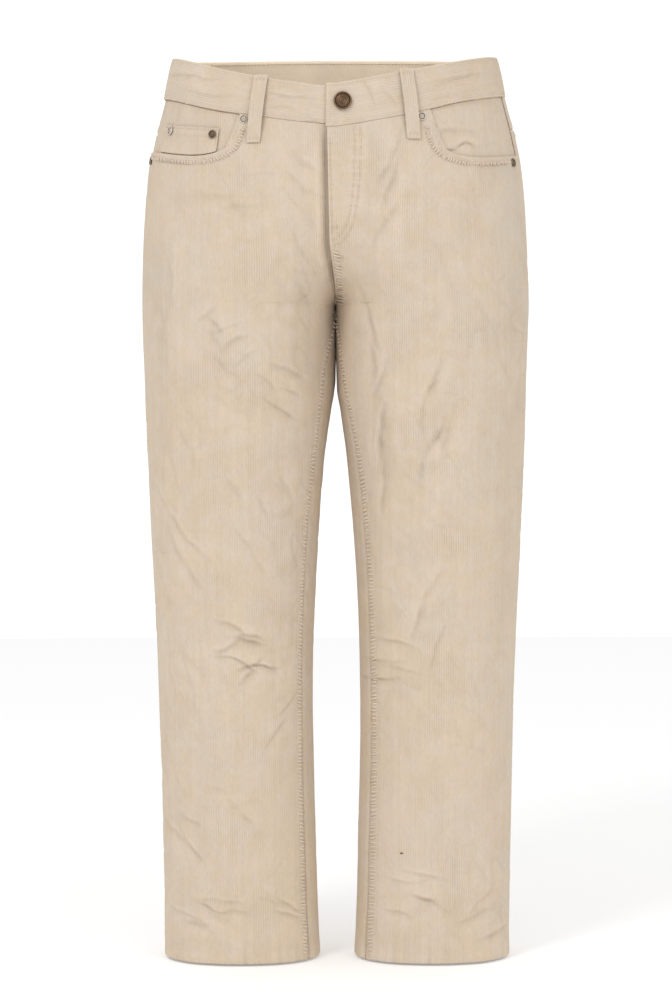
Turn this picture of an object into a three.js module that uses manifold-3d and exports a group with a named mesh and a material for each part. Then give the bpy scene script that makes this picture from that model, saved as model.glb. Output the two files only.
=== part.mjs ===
// Five-pocket corduroy trousers, standing open as if worn and held up at the waist.
// Millimetres, +Z up, the front faces -Y, and +X is the wearer's left. The origin is the middle
// of the waist opening. Every cloth piece is a wall between two offsets from one surface, which
// is worked out from the sections below.
import * as THREE from "three";
import { mergeVertices } from "three/addons/utils/BufferGeometryUtils.js";
import Module from "manifold-3d";

const wasm = await Module();
wasm.setup();

// ---- driving dimensions ----

const WALL = 1.4; // corduroy, one layer
const SEAM = 0.3; // between pieces that are sewn together
const BAND_SEAM = 0.9; // under the waistband, whose curved edge has finer facets
const LAYER = 0.6; // between a piece and the piece it lies on
const SQUARENESS = 2.2; // 2 is an ellipse, more is squarer

// The worn form, from the waist down. Half widths are measured from the centre plane, and
// front, mid and back are the Y of the foremost, widest and rearmost points.
const SECTIONS = [
  { z: 40, outer: 145, inner: 0, front: -95, mid: 0, back: 99 },
  { z: 19, outer: 152, inner: 0, front: -97, mid: 0, back: 101 },
  { z: -20, outer: 160.8, inner: 0, front: -102, mid: 1, back: 109 },
  { z: -50, outer: 168.9, inner: 0, front: -106, mid: 2, back: 117 },
  { z: -80, outer: 175.1, inner: 0, front: -109, mid: 3, back: 125 },
  { z: -120, outer: 178.9, inner: 0, front: -110, mid: 4, back: 131 },
  { z: -165, outer: 181.4, inner: 0, front: -108, mid: 5, back: 131 },
  { z: -210, outer: 182.3, inner: 0, front: -104, mid: 5, back: 121 },
  { z: -290, outer: 180.2, inner: 1.2, front: -95, mid: 4, back: 103 },
  { z: -310, outer: 179.5, inner: 4.5, front: -93, mid: 4, back: 99 },
  { z: -355, outer: 177.9, inner: 10.7, front: -87, mid: 3, back: 92 },
  { z: -450, outer: 173.9, inner: 18.2, front: -77, mid: 3, back: 82 },
  { z: -545, outer: 169.9, inner: 22, front: -69, mid: 4, back: 75 },
  { z: -640, outer: 167.2, inner: 22, front: -61, mid: 5, back: 70 },
  { z: -735, outer: 165.8, inner: 20, front: -53, mid: 6, back: 65 },
  { z: -830, outer: 164.7, inner: 16.5, front: -46, mid: 7, back: 60 },
];

const CROTCH_Z = -210;
const CROTCH_RISE = 95; // height over which one barrel parts into two legs
const CROTCH_CURVE = 1.25; // 1 leaves a fold across the inner thighs
const VALLEY_RADIUS = 11; // rounding of the centre seam between the thighs
const HEM_Z = -830;
const HEM_HEIGHT = 22;

const BAND_WALL = 3;
const BAND_PROUD = 0.8; // how far its outside stands out from the panels
const UNDERLAP = { steppedTurn: 0.17, coveredTurn: 0.075, length: 26 }; // under the fly's end
const WAIST_SIDE_Z = 20.5;
const WAIST_BACK_RISE = 9.5;
const BAND_BACK_HEIGHT = 39;

// The waist dips to the front, and more evenly on the wearer's left (1) than on the right (-1).
// A higher fullness keeps the dip low for longer on its way to the side.
const WAIST_DIP = {
  "-1": { drop: 33.2, fullness: 1.65, frontHeight: 35.5, sideHeight: 38 },
  1: { drop: 31.5, fullness: 1.1, frontHeight: 39.8, sideHeight: 36.6 },
};

const FLY_X = { top: -8, topZ: -16, end: -5.4, endZ: -150, seamZ: -205 };
// The right front under the left, clear of the waistband's inside as well.
const FLY_TUCK = { width: 10, depth: 2.8, clear: 12, fullZ: -162, endZ: -180 };

const SIDE_TURN = { "-1": 2, "1": -12, hem: -4 }; // degrees behind the widest point
const INSEAM_TURN = { degrees: 31, length: 70 };

const YOKE_DROP = { side: 30, centre: 62 };
// The front pocket's opening on the right (-1) and on the left (1) of the wearer.
const POCKET = {
  "-1": { openX: 84, depth: 49, corner: 3.8 },
  1: { openX: 84, depth: 55, corner: 3.8 },
};
const BEARER_MARGIN = 14;

const COIN = { left: -157.5, right: -105.5, outerZ: -43.2, innerZ: -50.4, wall: 1.2 };
const BACK_POCKET = { x: 80, width: 122, taper: 6, height: 112, point: 22, belowYoke: 16, wall: 1.3, gap: 1 };
const RIVET = { radius: 3.9, height: 1.7 };
const BUTTON = { x: 6.9, z: -28, radius: 8.3, thick: 3.2, shank: 2.6, slot: 15 };
const LOOP = { width: 12.5, wall: 1.8, above: 1.2 };

// Belt loops: centre at the top and at the bottom edge, on the front or the back.
const LOOPS = [
  { name: "belt_loop_front_right", face: "front", topX: -66, bottomX: -73.8, bottomZ: -65 },
  { name: "belt_loop_front_left", face: "front", topX: 64, bottomX: 71.3, bottomZ: -62 },
  { name: "belt_loop_side_right", face: "back", topX: -118, bottomX: -124, bottomZ: -43 },
  { name: "belt_loop_side_left", face: "back", topX: 118, bottomX: 124, bottomZ: -43 },
  { name: "belt_loop_back", face: "back", topX: 0, bottomX: 0, bottomZ: -34 },
];

// How far a belt loop's inside stands from the panels, from its top (0) to its bottom edge (1).
const LOOP_SWELL = [
  { down: 0, off: 2.3 },
  { down: 0.12, off: 2.5 },
  { down: 0.35, off: 4.2 },
  { down: 0.6, off: 3.9 },
  { down: 0.78, off: 2.5 },
  { down: 0.9, off: 1 },
  { down: 1, off: 0.5 },
];

const RIVETS = [
  { name: "rivet_pocket_right_front", x: -82.5, z: -43, off: 0.4, color: 0xb9b2a6 },
  { name: "rivet_coin_outer", x: -151.5, z: -50, off: 0, color: 0xb9b2a6 },
  { name: "rivet_coin_inner", x: -111.5, z: -56, off: 0, color: 0x6b5644 },
  { name: "rivet_pocket_right_side", x: -171.5, z: -75.5, off: 0.4, color: 0x6b5644 },
  { name: "rivet_pocket_left_front", x: 78.6, z: -41, off: 0.4, color: 0xb9b2a6 },
  { name: "rivet_pocket_left_side", x: 165, z: -79.5, off: 0.4, color: 0x6b5644 },
];

// The largest folds: a soft trough along a bow from one point to another through a third,
// as X and Z on the front or the back. Width and depth are half the trough's width and its
// depth, and a shallower ridge runs beside it.
const FOLDS = [
  { face: "front", from: [-163, -142], via: [-168, -235], to: [-160, -363], width: 13, depth: 3 },
  { face: "front", from: [-125, -219], via: [-112, -252], to: [-86, -289], width: 17, depth: 3 },
  { face: "front", from: [-82, -294], via: [-52, -306], to: [-22, -324], width: 15, depth: 3.5 },
  { face: "front", from: [-62, -361], via: [-48, -383], to: [-34, -408], width: 15, depth: 3 },
  { face: "front", from: [-114, -511], via: [-78, -529], to: [-38, -544], width: 15, depth: 4 },
  { face: "front", from: [-158, -687], via: [-138, -720], to: [-106, -753], width: 17, depth: 3.5 },
  { face: "front", from: [-150, -775], via: [-100, -794], to: [-42, -777], width: 13, depth: 3 },
  { face: "front", from: [50, -65], via: [42, -111], to: [22, -190], width: 14, depth: 3 },
  { face: "front", from: [33, -262], via: [44, -336], to: [36, -417], width: 13, depth: 3.5 },
  { face: "front", from: [112, -282], via: [86, -349], to: [48, -423], width: 16, depth: 4 },
  { face: "front", from: [106, -471], via: [92, -501], to: [74, -531], width: 15, depth: 3 },
  { face: "front", from: [34, -560], via: [56, -570], to: [80, -570], width: 13, depth: 3 },
  { face: "front", from: [42, -759], via: [90, -794], to: [156, -771], width: 13, depth: 3 },
  { face: "back", from: [-30, -262], via: [-80, -246], to: [-136, -262], width: 15, depth: 3.5 },
  { face: "back", from: [34, -256], via: [84, -244], to: [138, -268], width: 15, depth: 3.5 },
  { face: "back", from: [-40, -500], via: [-88, -518], to: [-140, -500], width: 16, depth: 4 },
  { face: "back", from: [38, -512], via: [84, -524], to: [136, -504], width: 16, depth: 4 },
  { face: "back", from: [-36, -560], via: [-84, -580], to: [-128, -566], width: 15, depth: 3 },
  { face: "back", from: [42, -572], via: [86, -582], to: [124, -560], width: 15, depth: 3 },
  { face: "back", from: [-140, -700], via: [-104, -742], to: [-60, -770], width: 16, depth: 3 },
  { face: "back", from: [140, -690], via: [108, -738], to: [62, -762], width: 16, depth: 3 },
];

const FINE = { frontColumns: 12, backColumns: 16, topRows: 5, crotchRows: 8, legRows: 20 };

const CORDUROY = { color: 0xd8c8b2, roughness: 0.92, metalness: 0 };
const BRASS = { color: 0x6e5238, roughness: 0.45, metalness: 0.8 };

// ---- the worn surface ----

const clamp = (value, low, high) => Math.min(Math.max(value, low), high);
const lerp = (a, b, t) => a + (b - a) * t;
const signedPower = (value, power) => Math.sign(value) * Math.abs(value) ** power;

function ease(low, high, value) {
  const t = clamp((value - low) / (high - low), 0, 1);
  return t * t * (3 - 2 * t);
}

// A smooth curve through a column of a table, by its key column.
function smooth(table, key, column, at) {
  const falling = table[0][key] > table[1][key] ? -1 : 1;
  let i = table.findIndex((row) => falling * (row[key] - at) > 0) - 1;
  i = i === -2 ? table.length - 2 : Math.max(i, 0);
  const slope = (k) => {
    const a = table[Math.max(k - 1, 0)];
    const b = table[Math.min(k + 1, table.length - 1)];
    return (b[column] - a[column]) / (b[key] - a[key]);
  };
  const [p, q] = [table[i], table[i + 1]];
  const span = q[key] - p[key];
  const t = clamp((at - p[key]) / span, 0, 1);
  const [t2, t3] = [t * t, t * t * t];
  return (
    (2 * t3 - 3 * t2 + 1) * p[column] +
    (t3 - 2 * t2 + t) * span * slope(i) +
    (3 * t2 - 2 * t3) * q[column] +
    (t3 - t2) * span * slope(i + 1)
  );
}

// How far one barrel has parted into two legs: 0 above the fly's end, 1 at the crotch.
function parted(z) {
  const t = clamp((z - CROTCH_Z) / CROTCH_RISE, 0, 1);
  return 1 - t ** CROTCH_CURVE;
}

// Half of one section: a superellipse about the leg's centre line.
function section(z) {
  const at = (column) => smooth(SECTIONS, "z", column, z);
  const outer = at("outer") - SEAM / 2;
  const share = parted(z);
  const inner = z < CROTCH_Z ? Math.max(at("inner") - SEAM / 2, 0) : 0;
  const half = z < CROTCH_Z ? (outer - inner) / 2 : outer / (1 + share);
  const centre = z < CROTCH_Z ? (outer + inner) / 2 : half * share;
  const valley = z < CROTCH_Z ? 0 : VALLEY_RADIUS * ease(0, 0.5, (z - CROTCH_Z) / CROTCH_RISE);
  return { half, centre, valley, front: at("front"), mid: at("mid"), back: at("back") };
}

// The angle runs from the innermost point (0) over the front, the side (PI) and the back.
function plainPoint(side, angle, z) {
  const s = section(z);
  const x = s.centre - s.half * signedPower(Math.cos(angle), 2 / SQUARENESS);
  let reach = Math.abs(Math.sin(angle)) ** (2 / SQUARENESS);
  if (s.valley > 0 && s.centre > 0 && x < s.centre) {
    const rounded = Math.min(Math.hypot(x, s.valley), s.centre);
    const across = Math.max(s.centre - Math.max(rounded, x), 0) / s.half;
    reach = Math.max(1 - across ** SQUARENESS, 0) ** (1 / SQUARENESS);
  }
  const y = Math.sin(angle) >= 0 ? lerp(s.mid, s.front, reach) : lerp(s.mid, s.back, reach);
  return new THREE.Vector3(side * (x + SEAM / 2), y, z);
}

// The angle at which a level section passes a distance x from the centre seam.
function angleAt(z, x) {
  const s = section(z);
  const share = clamp((s.centre - x) / s.half, -1, 1);
  return Math.acos(signedPower(share, SQUARENESS / 2));
}

const backAngleAt = (z, x) => 2 * Math.PI - angleAt(z, x);

function plainNormal(side, angle, z) {
  const step = 0.01;
  const along = plainPoint(side, angle + step, z).sub(plainPoint(side, angle - step, z));
  const up = plainPoint(side, angle, z + 1).sub(plainPoint(side, angle, z - 1));
  return along.cross(up).multiplyScalar(side).normalize();
}

// An angle moved along the section by a distance.
function nudged(side, angle, z, distance) {
  const step = 0.01;
  const arc = plainPoint(side, angle + step, z).distanceTo(plainPoint(side, angle - step, z));
  return angle + (distance * 2 * step) / Math.max(arc, 1e-3);
}

function bowPoints(fold) {
  const steps = 10;
  const points = [];
  for (let i = 0; i <= steps; i++) {
    const t = i / steps;
    const mix = (k) => lerp(lerp(fold.from[k], fold.via[k], t), lerp(fold.via[k], fold.to[k], t), t);
    points.push([mix(0), mix(1)]);
  }
  return points;
}

const BOWS = FOLDS.map((fold) => ({ ...fold, points: bowPoints(fold) }));

// Signed distance to a bow, and how far along it the nearest point is.
function besideBow(points, x, z) {
  let best = { distance: Infinity, share: 0 };
  for (let i = 0; i + 1 < points.length; i++) {
    const [ax, az] = points[i];
    const [dx, dz] = [points[i + 1][0] - ax, points[i + 1][1] - az];
    const t = clamp(((x - ax) * dx + (z - az) * dz) / (dx * dx + dz * dz), 0, 1);
    const [rx, rz] = [x - ax - t * dx, z - az - t * dz];
    const distance = Math.hypot(rx, rz);
    if (distance < Math.abs(best.distance)) {
      const sign = Math.sign(dx * rz - dz * rx) || 1;
      best = { distance: sign * distance, share: (i + t) / (points.length - 1) };
    }
  }
  return best;
}

function foldDepth(point, angle) {
  const face = Math.sin(angle) >= 0 ? "front" : "back";
  const facing = ease(0.05, 0.45, Math.abs(Math.sin(angle)));
  const clear = ease(-62, -80, point.z) * ease(HEM_Z, HEM_Z + 2 * HEM_HEIGHT, point.z);
  let depth = 0;
  for (const bow of BOWS) {
    if (bow.face !== face) continue;
    const { distance, share } = besideBow(bow.points, point.x, point.z);
    const d = distance / bow.width;
    const fade = Math.sin(Math.PI * clamp(share, 0.02, 0.98)) ** 0.6;
    depth += bow.depth * fade * (0.5 * Math.exp(-((d - 1.6) ** 2)) - Math.exp(-d * d));
  }
  return depth * facing * clear;
}

// A point of the worn surface, moved out along its normal.
function surface(side, angle, z, offset) {
  const point = plainPoint(side, angle, z);
  const out = plainNormal(side, angle, z);
  return point.addScaledVector(out, offset + foldDepth(point, angle));
}

// ---- lines that the pieces are cut along ----

// How far out to the side a point of the waist is, from the centre front (0) to the side (1).
const sideways = (angle) => Math.max(-Math.cos(angle), 0) ** (2 / SQUARENESS);

function waistTop(side, angle) {
  const { drop, fullness } = WAIST_DIP[side];
  if (Math.sin(angle) >= 0) return WAIST_SIDE_Z - drop * (1 - sideways(angle) ** fullness);
  return WAIST_SIDE_Z + WAIST_BACK_RISE * Math.abs(Math.sin(angle)) ** 1.4;
}

function bandHeight(side, angle) {
  const { frontHeight, sideHeight } = WAIST_DIP[side];
  if (Math.sin(angle) < 0) return lerp(sideHeight, BAND_BACK_HEIGHT, ease(0, 0.6, -Math.sin(angle)));
  return lerp(frontHeight, sideHeight, ease(0.35, 0.75, sideways(angle)));
}

const waistSeam = (side, angle) => waistTop(side, angle) - bandHeight(side, angle);

function yokeSeam(side, angle) {
  const towardCentre = clamp((angle - Math.PI) / (Math.PI / 2), 0, 1);
  return waistSeam(side, angle) - lerp(YOKE_DROP.side, YOKE_DROP.centre, towardCentre);
}

function sideSeam(side, z) {
  const degrees = lerp(SIDE_TURN[side], SIDE_TURN.hem, ease(-80, -400, z));
  return Math.PI + THREE.MathUtils.degToRad(degrees);
}

function inseam(z) {
  const turn = INSEAM_TURN.degrees * (1 - Math.exp((z - CROTCH_Z) / INSEAM_TURN.length));
  return THREE.MathUtils.degToRad(Math.max(turn, 0));
}

// X of the left front's folded edge, which closes the fly and runs into the centre seam.
function flyEdge(z) {
  const straight = lerp(FLY_X.end, FLY_X.top, (z - FLY_X.endZ) / (FLY_X.topZ - FLY_X.endZ));
  return straight * ease(FLY_X.seamZ, FLY_X.endZ, z);
}

const tuckedWidth = (z) => FLY_TUCK.width * ease(FLY_TUCK.endZ, FLY_TUCK.fullZ, z);
const tuckedShare = (z) => ease(FLY_X.seamZ, FLY_TUCK.endZ, z);

function frontStart(side, z) {
  if (z < CROTCH_Z) return nudged(side, inseam(z), z, SEAM / 2);
  const edge = side > 0 ? flyEdge(z) : -(flyEdge(z) + tuckedWidth(z));
  return angleAt(z, edge);
}

function backEnd(side, z) {
  if (z >= CROTCH_Z) return 2 * Math.PI - angleAt(z, 0);
  return nudged(side, 2 * Math.PI + inseam(z), z, -SEAM / 2);
}

const frontEnd = (side, z) => nudged(side, sideSeam(side, z), z, -SEAM / 2);
const backStart = (side, z) => nudged(side, sideSeam(side, z), z, SEAM / 2);

// How deep the right front lies at the fly, so that the left front covers it.
function flyTuckDepth(side, x, z) {
  if (side > 0) return 0;
  return FLY_TUCK.depth * tuckedShare(z) * ease(flyEdge(z) - FLY_TUCK.clear, flyEdge(z) - 2.5, x);
}

// ---- walls ----

const spread = (from, to, count) => Array.from({ length: count + 1 }, (_, i) => lerp(from, to, i / count));

// A closed wall from a grid of outer and inner points, grid[row][column].
function wall(outer, inner) {
  const rows = outer.length;
  const columns = outer[0].length;
  const positions = [...outer.flat(), ...inner.flat()].flatMap((p) => [p.x, p.y, p.z]);
  const index = [];
  const top = (r, c) => r * columns + c;
  const under = (r, c) => rows * columns + top(r, c);
  const quad = (a, b, c, d) => index.push(a, b, c, a, c, d);
  for (let r = 0; r + 1 < rows; r++) {
    for (let c = 0; c + 1 < columns; c++) {
      quad(top(r, c), top(r + 1, c), top(r + 1, c + 1), top(r, c + 1));
      quad(under(r, c), under(r, c + 1), under(r + 1, c + 1), under(r + 1, c));
    }
  }
  for (let r = 0; r + 1 < rows; r++) {
    quad(top(r, 0), under(r, 0), under(r + 1, 0), top(r + 1, 0));
    const last = columns - 1;
    quad(top(r, last), top(r + 1, last), under(r + 1, last), under(r, last));
  }
  for (let c = 0; c + 1 < columns; c++) {
    quad(top(0, c), top(0, c + 1), under(0, c + 1), under(0, c));
    const last = rows - 1;
    quad(top(last, c), under(last, c), under(last, c + 1), top(last, c + 1));
  }
  const geometry = new THREE.BufferGeometry();
  geometry.setAttribute("position", new THREE.Float32BufferAttribute(positions, 3));
  geometry.setIndex(index);
  return facingOut(geometry);
}

function facingOut(geometry) {
  const position = geometry.getAttribute("position");
  const at = (i) => new THREE.Vector3().fromBufferAttribute(position, i);
  const index = geometry.getIndex().array;
  let volume = 0;
  for (let i = 0; i < index.length; i += 3) {
    volume += at(index[i]).dot(at(index[i + 1]).cross(at(index[i + 2])));
  }
  if (volume < 0) {
    for (let i = 0; i < index.length; i += 3) [index[i], index[i + 1]] = [index[i + 1], index[i]];
  }
  return geometry;
}

function solidOf(geometry) {
  const bare = geometry.clone();
  bare.deleteAttribute("normal");
  bare.deleteAttribute("uv");
  const merged = mergeVertices(bare, 1e-4);
  return new wasm.Manifold(
    new wasm.Mesh({
      numProp: 3,
      vertProperties: new Float32Array(merged.getAttribute("position").array),
      triVerts: new Uint32Array(merged.getIndex().array),
    }),
  );
}

function geometryOf(solid) {
  const mesh = solid.getMesh();
  const geometry = new THREE.BufferGeometry();
  geometry.setAttribute("position", new THREE.Float32BufferAttribute(mesh.vertProperties, 3));
  geometry.setIndex([...mesh.triVerts]);
  return geometry;
}

// A wall over part of the surface: the grid is made from angles and heights, and both of its
// sides from offsets.
function sheet({ side, levels, angles, outside, inside }) {
  const grid = (offset) =>
    levels.map((level) => {
      const columns = angles(level.z(Math.PI));
      return columns.map((first, c) => {
        let angle = first;
        for (let pass = 0; pass < 4; pass++) angle = angles(level.z(angle))[c];
        const z = level.z(angle);
        return surface(side, angle, z, offset(angle, z, level));
      });
    });
  return wall(grid(outside), grid(inside));
}

// Rows from a line around the hips down to the hem, shared by all panels.
function panelLevels(topLine, topRows) {
  const crotchTop = CROTCH_Z + CROTCH_RISE;
  const hemTop = HEM_Z + HEM_HEIGHT;
  const levels = spread(0, 1, topRows)
    .slice(0, -1)
    .map((t) => ({ z: (angle) => lerp(topLine(angle), crotchTop, t) }));
  const flat = [crotchTop, crotchTop - CROTCH_RISE * 0.24];
  for (let k = FINE.crotchRows - 1; k >= 0; k--) {
    const reach = (k / FINE.crotchRows) ** SQUARENESS;
    const share = (1 - reach) ** (1 / SQUARENESS);
    flat.push(CROTCH_Z + CROTCH_RISE * (1 - share) ** (1 / CROTCH_CURVE));
  }
  flat.push(...spread(CROTCH_Z, hemTop + 1, FINE.legRows).slice(1));
  flat.push(hemTop, lerp(hemTop, HEM_Z, 0.5), HEM_Z);
  return [...levels, ...flat.map((z) => ({ z: () => z, hem: z <= hemTop }))];
}

function frontAngles(side, z) {
  const [start, end] = [frontStart(side, z), frontEnd(side, z)];
  const even = spread(start, end, FINE.frontColumns);
  const share = side < 0 ? ease(FLY_X.seamZ - 6, FLY_TUCK.endZ - 4, z) : 0;
  if (share === 0) return even;
  const covered = angleAt(z, -(flyEdge(z) - 2.5));
  const clear = angleAt(z, -(flyEdge(z) - FLY_TUCK.clear));
  const stepped = [start, covered, ...spread(clear, end, FINE.frontColumns - 2)];
  return even.map((angle, i) => lerp(angle, stepped[i], share));
}

function frontPanel(side) {
  const tuck = (angle, z) => flyTuckDepth(side, plainPoint(side, angle, z).x, z);
  const layers = (level) => (level.hem ? 2 * WALL : WALL);
  const body = sheet({
    side,
    levels: panelLevels((angle) => waistSeam(side, angle) - BAND_SEAM, FINE.topRows),
    angles: (z) => frontAngles(side, z),
    outside: (angle, z) => -tuck(angle, z),
    inside: (angle, z, level) => -tuck(angle, z) - layers(level),
  });
  return geometryOf(solidOf(body).subtract(solidOf(pocketCutter(side, 0))));
}

function backPanel(side) {
  return sheet({
    side,
    levels: panelLevels((angle) => yokeSeam(side, angle) - SEAM, FINE.topRows - 2),
    angles: (z) => spread(backStart(side, z), backEnd(side, z), FINE.backColumns),
    outside: () => 0,
    inside: (angle, z, level) => -(level.hem ? 2 * WALL : WALL),
  });
}

function yoke(side) {
  const top = (angle) => waistSeam(side, angle) - BAND_SEAM;
  const between = (t) => ({ z: (angle) => lerp(top(angle), yokeSeam(side, angle), t) });
  return sheet({
    side,
    levels: spread(0, 1, 3).map(between),
    angles: (z) => spread(backStart(side, z), backEnd(side, z), FINE.backColumns / 2),
    outside: () => 0,
    inside: () => -WALL,
  });
}

// ---- pockets ----

// The front pocket's opening, from the side seam (0) to its inner end (PI / 2), as an angle and
// the height of the edge there. A margin moves the edge out.
function openingEdge(side, turn, margin) {
  const sideZ = waistSeam(side, Math.PI);
  const { openX, depth, corner } = POCKET[side];
  const end = frontEnd(side, sideZ - depth);
  const start = nudged(side, angleAt(sideZ, openX), sideZ, -margin);
  const share = Math.sin(turn) ** (2 / corner);
  const drop = (depth + margin) * Math.max(Math.cos(turn), 0) ** (2 / corner);
  const angle = lerp(end, start, share);
  return { angle, z: waistSeam(side, angle) - drop };
}

// A thick patch over the whole opening, for cutting.
function pocketCutter(side, margin) {
  const reach = 12;
  const edges = spread(0, Math.PI / 2, 9).map((turn) => openingEdge(side, turn, margin));
  const past = nudged(side, edges[0].angle, edges[0].z, reach);
  edges.unshift({ angle: past, z: edges[0].z });
  const grid = (offset) =>
    [0, 1].map((t) =>
      edges.map(({ angle, z }) => surface(side, angle, lerp(waistSeam(side, angle) + reach, z, t), offset)),
    );
  return wall(grid(reach), grid(-reach));
}

function pocketBearer(side) {
  const far = openingEdge(side, Math.PI / 2, BEARER_MARGIN).angle;
  const low = openingEdge(side, 0.6, BEARER_MARGIN).z;
  const top = (angle) => waistSeam(side, angle) - BAND_SEAM;
  const depth = WALL + LAYER;
  return sheet({
    side,
    levels: spread(0, 1, 4).map((t) => ({ z: (angle) => lerp(top(angle), low, t) })),
    angles: (z) => spread(far, frontEnd(side, z), 6),
    outside: () => -depth,
    inside: () => -depth - WALL,
  });
}

function coinPocket() {
  const side = -1;
  const outside = -SEAM;
  const start = angleAt(COIN.innerZ, -COIN.right);
  const end = angleAt(COIN.outerZ, -COIN.left);
  const top = (angle) => lerp(COIN.innerZ, COIN.outerZ, (angle - start) / (end - start));
  const low = openingEdge(side, 0.3, 4).z;
  const body = sheet({
    side,
    levels: spread(0, 1, 3).map((t) => ({ z: (angle) => lerp(top(angle), low, t) })),
    angles: () => spread(start, end, 4),
    outside: () => outside,
    inside: () => outside - COIN.wall,
  });
  return geometryOf(solidOf(body).intersect(solidOf(pocketCutter(side, -SEAM))));
}

function backPocket(side) {
  const topZ = yokeSeam(side, backAngleAt(-80, BACK_POCKET.x)) - BACK_POCKET.belowYoke;
  const columns = spread(-1, 1, 6);
  const rows = spread(0, 1, 6);
  const grid = (offset) =>
    rows.map((down) =>
      columns.map((across) => {
        const height = BACK_POCKET.height + BACK_POCKET.point * (1 - Math.abs(across));
        const width = BACK_POCKET.width / 2 - BACK_POCKET.taper * down;
        const z = topZ - height * down;
        return surface(side, backAngleAt(z, BACK_POCKET.x + across * width), z, offset);
      }),
    );
  return wall(grid(BACK_POCKET.gap + BACK_POCKET.wall), grid(BACK_POCKET.gap));
}

// ---- waistband and belt loops ----

// The band runs from the left front's end (start, over the fly) round the back to the right
// front's end under it. Its turn is measured round the waist from the centre front.
function bandPoint(turn, down, offset) {
  const side = turn <= Math.PI ? 1 : -1;
  const angle = Math.PI / 2 + (side > 0 ? turn : 2 * Math.PI - turn);
  const near = ease(-UNDERLAP.steppedTurn, -UNDERLAP.coveredTurn, turn - 2 * Math.PI);
  const under = side < 0 ? (BAND_WALL + LAYER) * near : 0;
  const z = waistTop(side, angle) - bandHeight(side, angle) * down;
  return surface(side, angle, z, offset - under);
}

function waistband() {
  const halfWidth = SECTIONS[1].outer;
  const start = angleAt(0, FLY_X.top) - Math.PI / 2;
  const covered = 2 * Math.PI - UNDERLAP.coveredTurn;
  const stepped = 2 * Math.PI - UNDERLAP.steppedTurn;
  const end = 2 * Math.PI + UNDERLAP.length / halfWidth;
  const turns = [...spread(start, stepped, 44), covered, end];
  const grid = (offset) => spread(0, 1, 2).map((down) => turns.map((t) => bandPoint(t, down, offset)));
  const ring = wall(grid(BAND_PROUD), grid(BAND_PROUD - BAND_WALL));
  return geometryOf(solidOf(ring).subtract(solidOf(buttonholeCutter())));
}

function beltLoop(loop) {
  const side = loop.topX < 0 ? -1 : 1;
  const angleOf = loop.face === "front" ? angleAt : backAngleAt;
  const topZ = waistTop(side, angleOf(0, Math.abs(loop.topX))) + LOOP.above;
  const across = spread(-LOOP.width / 2, LOOP.width / 2, 2);
  const grid = (thickness) =>
    LOOP_SWELL.map((row) => {
      const z = lerp(topZ, loop.bottomZ, row.down);
      const x = side * lerp(loop.topX, loop.bottomX, row.down);
      return across.map((dx) => surface(side, angleOf(z, x + dx), z, row.off + thickness));
    });
  return wall(grid(LOOP.wall), grid(0));
}

// ---- button and rivets ----

const buttonAngle = angleAt(BUTTON.z, BUTTON.x);

// Puts a geometry whose axis is +Y on the surface, with the axis along the surface's normal.
function placed(mesh, side, angle, z, offset) {
  mesh.position.copy(surface(side, angle, z, offset));
  mesh.quaternion.setFromUnitVectors(new THREE.Vector3(0, 1, 0), plainNormal(side, angle, z));
  return mesh;
}

// A keyhole: round where the shank passes, with a slot beside it.
function buttonholeCutter() {
  const round = BUTTON.shank + 0.7;
  const slot = 0.8;
  const open = Math.asin(slot / round);
  const shape = new THREE.Shape();
  shape.absarc(0, 0, round, open, 2 * Math.PI - open, false);
  shape.lineTo(BUTTON.slot, -slot);
  shape.lineTo(BUTTON.slot, slot);
  const depth = BAND_WALL + 4;
  const geometry = new THREE.ExtrudeGeometry(shape, { depth, bevelEnabled: false, curveSegments: 10 });
  const mesh = new THREE.Mesh(geometry);
  mesh.position.copy(surface(1, buttonAngle, BUTTON.z, BAND_PROUD - BAND_WALL - LAYER / 2));
  mesh.quaternion.setFromUnitVectors(new THREE.Vector3(0, 0, 1), plainNormal(1, buttonAngle, BUTTON.z));
  mesh.updateMatrix();
  return geometry.applyMatrix4(mesh.matrix);
}

// A domed cap with plain rings on its face, on a shank that passes through the buttonhole.
function buttonGeometry() {
  const reach = BAND_WALL + LAYER / 2 + 0.6;
  const { radius, thick, shank } = BUTTON;
  const profile = [
    [0, 0],
    [shank, 0],
    [shank, reach],
    [radius - 0.6, reach],
    [radius, reach + thick * 0.35],
    [radius - 0.4, reach + thick * 0.8],
    [radius - 1.5, reach + thick],
    [radius - 2.3, reach + thick * 0.72],
    [radius * 0.45, reach + thick * 0.78],
    [radius * 0.32, reach + thick * 0.95],
    [0, reach + thick],
  ];
  return new THREE.LatheGeometry(profile.map(([r, y]) => new THREE.Vector2(r, y)), 24);
}

function rivetGeometry() {
  const { radius, height } = RIVET;
  const profile = [
    [0, 0],
    [radius, 0],
    [radius, height * 0.4],
    [radius * 0.86, height * 0.75],
    [radius * 0.55, height * 0.7],
    [radius * 0.4, height],
    [0, height * 1.1],
  ];
  return new THREE.LatheGeometry(profile.map(([r, y]) => new THREE.Vector2(r, y)), 14);
}

// ---- the trousers ----

const trousers = new THREE.Group();

function add(name, geometry, finish) {
  const mesh = new THREE.Mesh(geometry, new THREE.MeshStandardMaterial(finish));
  mesh.name = name;
  trousers.add(mesh);
  return mesh;
}

for (const [side, hand] of [[-1, "right"], [1, "left"]]) {
  add(`front_${hand}`, frontPanel(side), CORDUROY);
  add(`back_${hand}`, backPanel(side), CORDUROY);
  add(`yoke_${hand}`, yoke(side), CORDUROY);
  add(`pocket_bearer_${hand}`, pocketBearer(side), CORDUROY);
  add(`back_pocket_${hand}`, backPocket(side), CORDUROY);
}

add("coin_pocket", coinPocket(), CORDUROY);
add("waistband", waistband(), CORDUROY);
for (const loop of LOOPS) add(loop.name, beltLoop(loop), CORDUROY);

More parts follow.
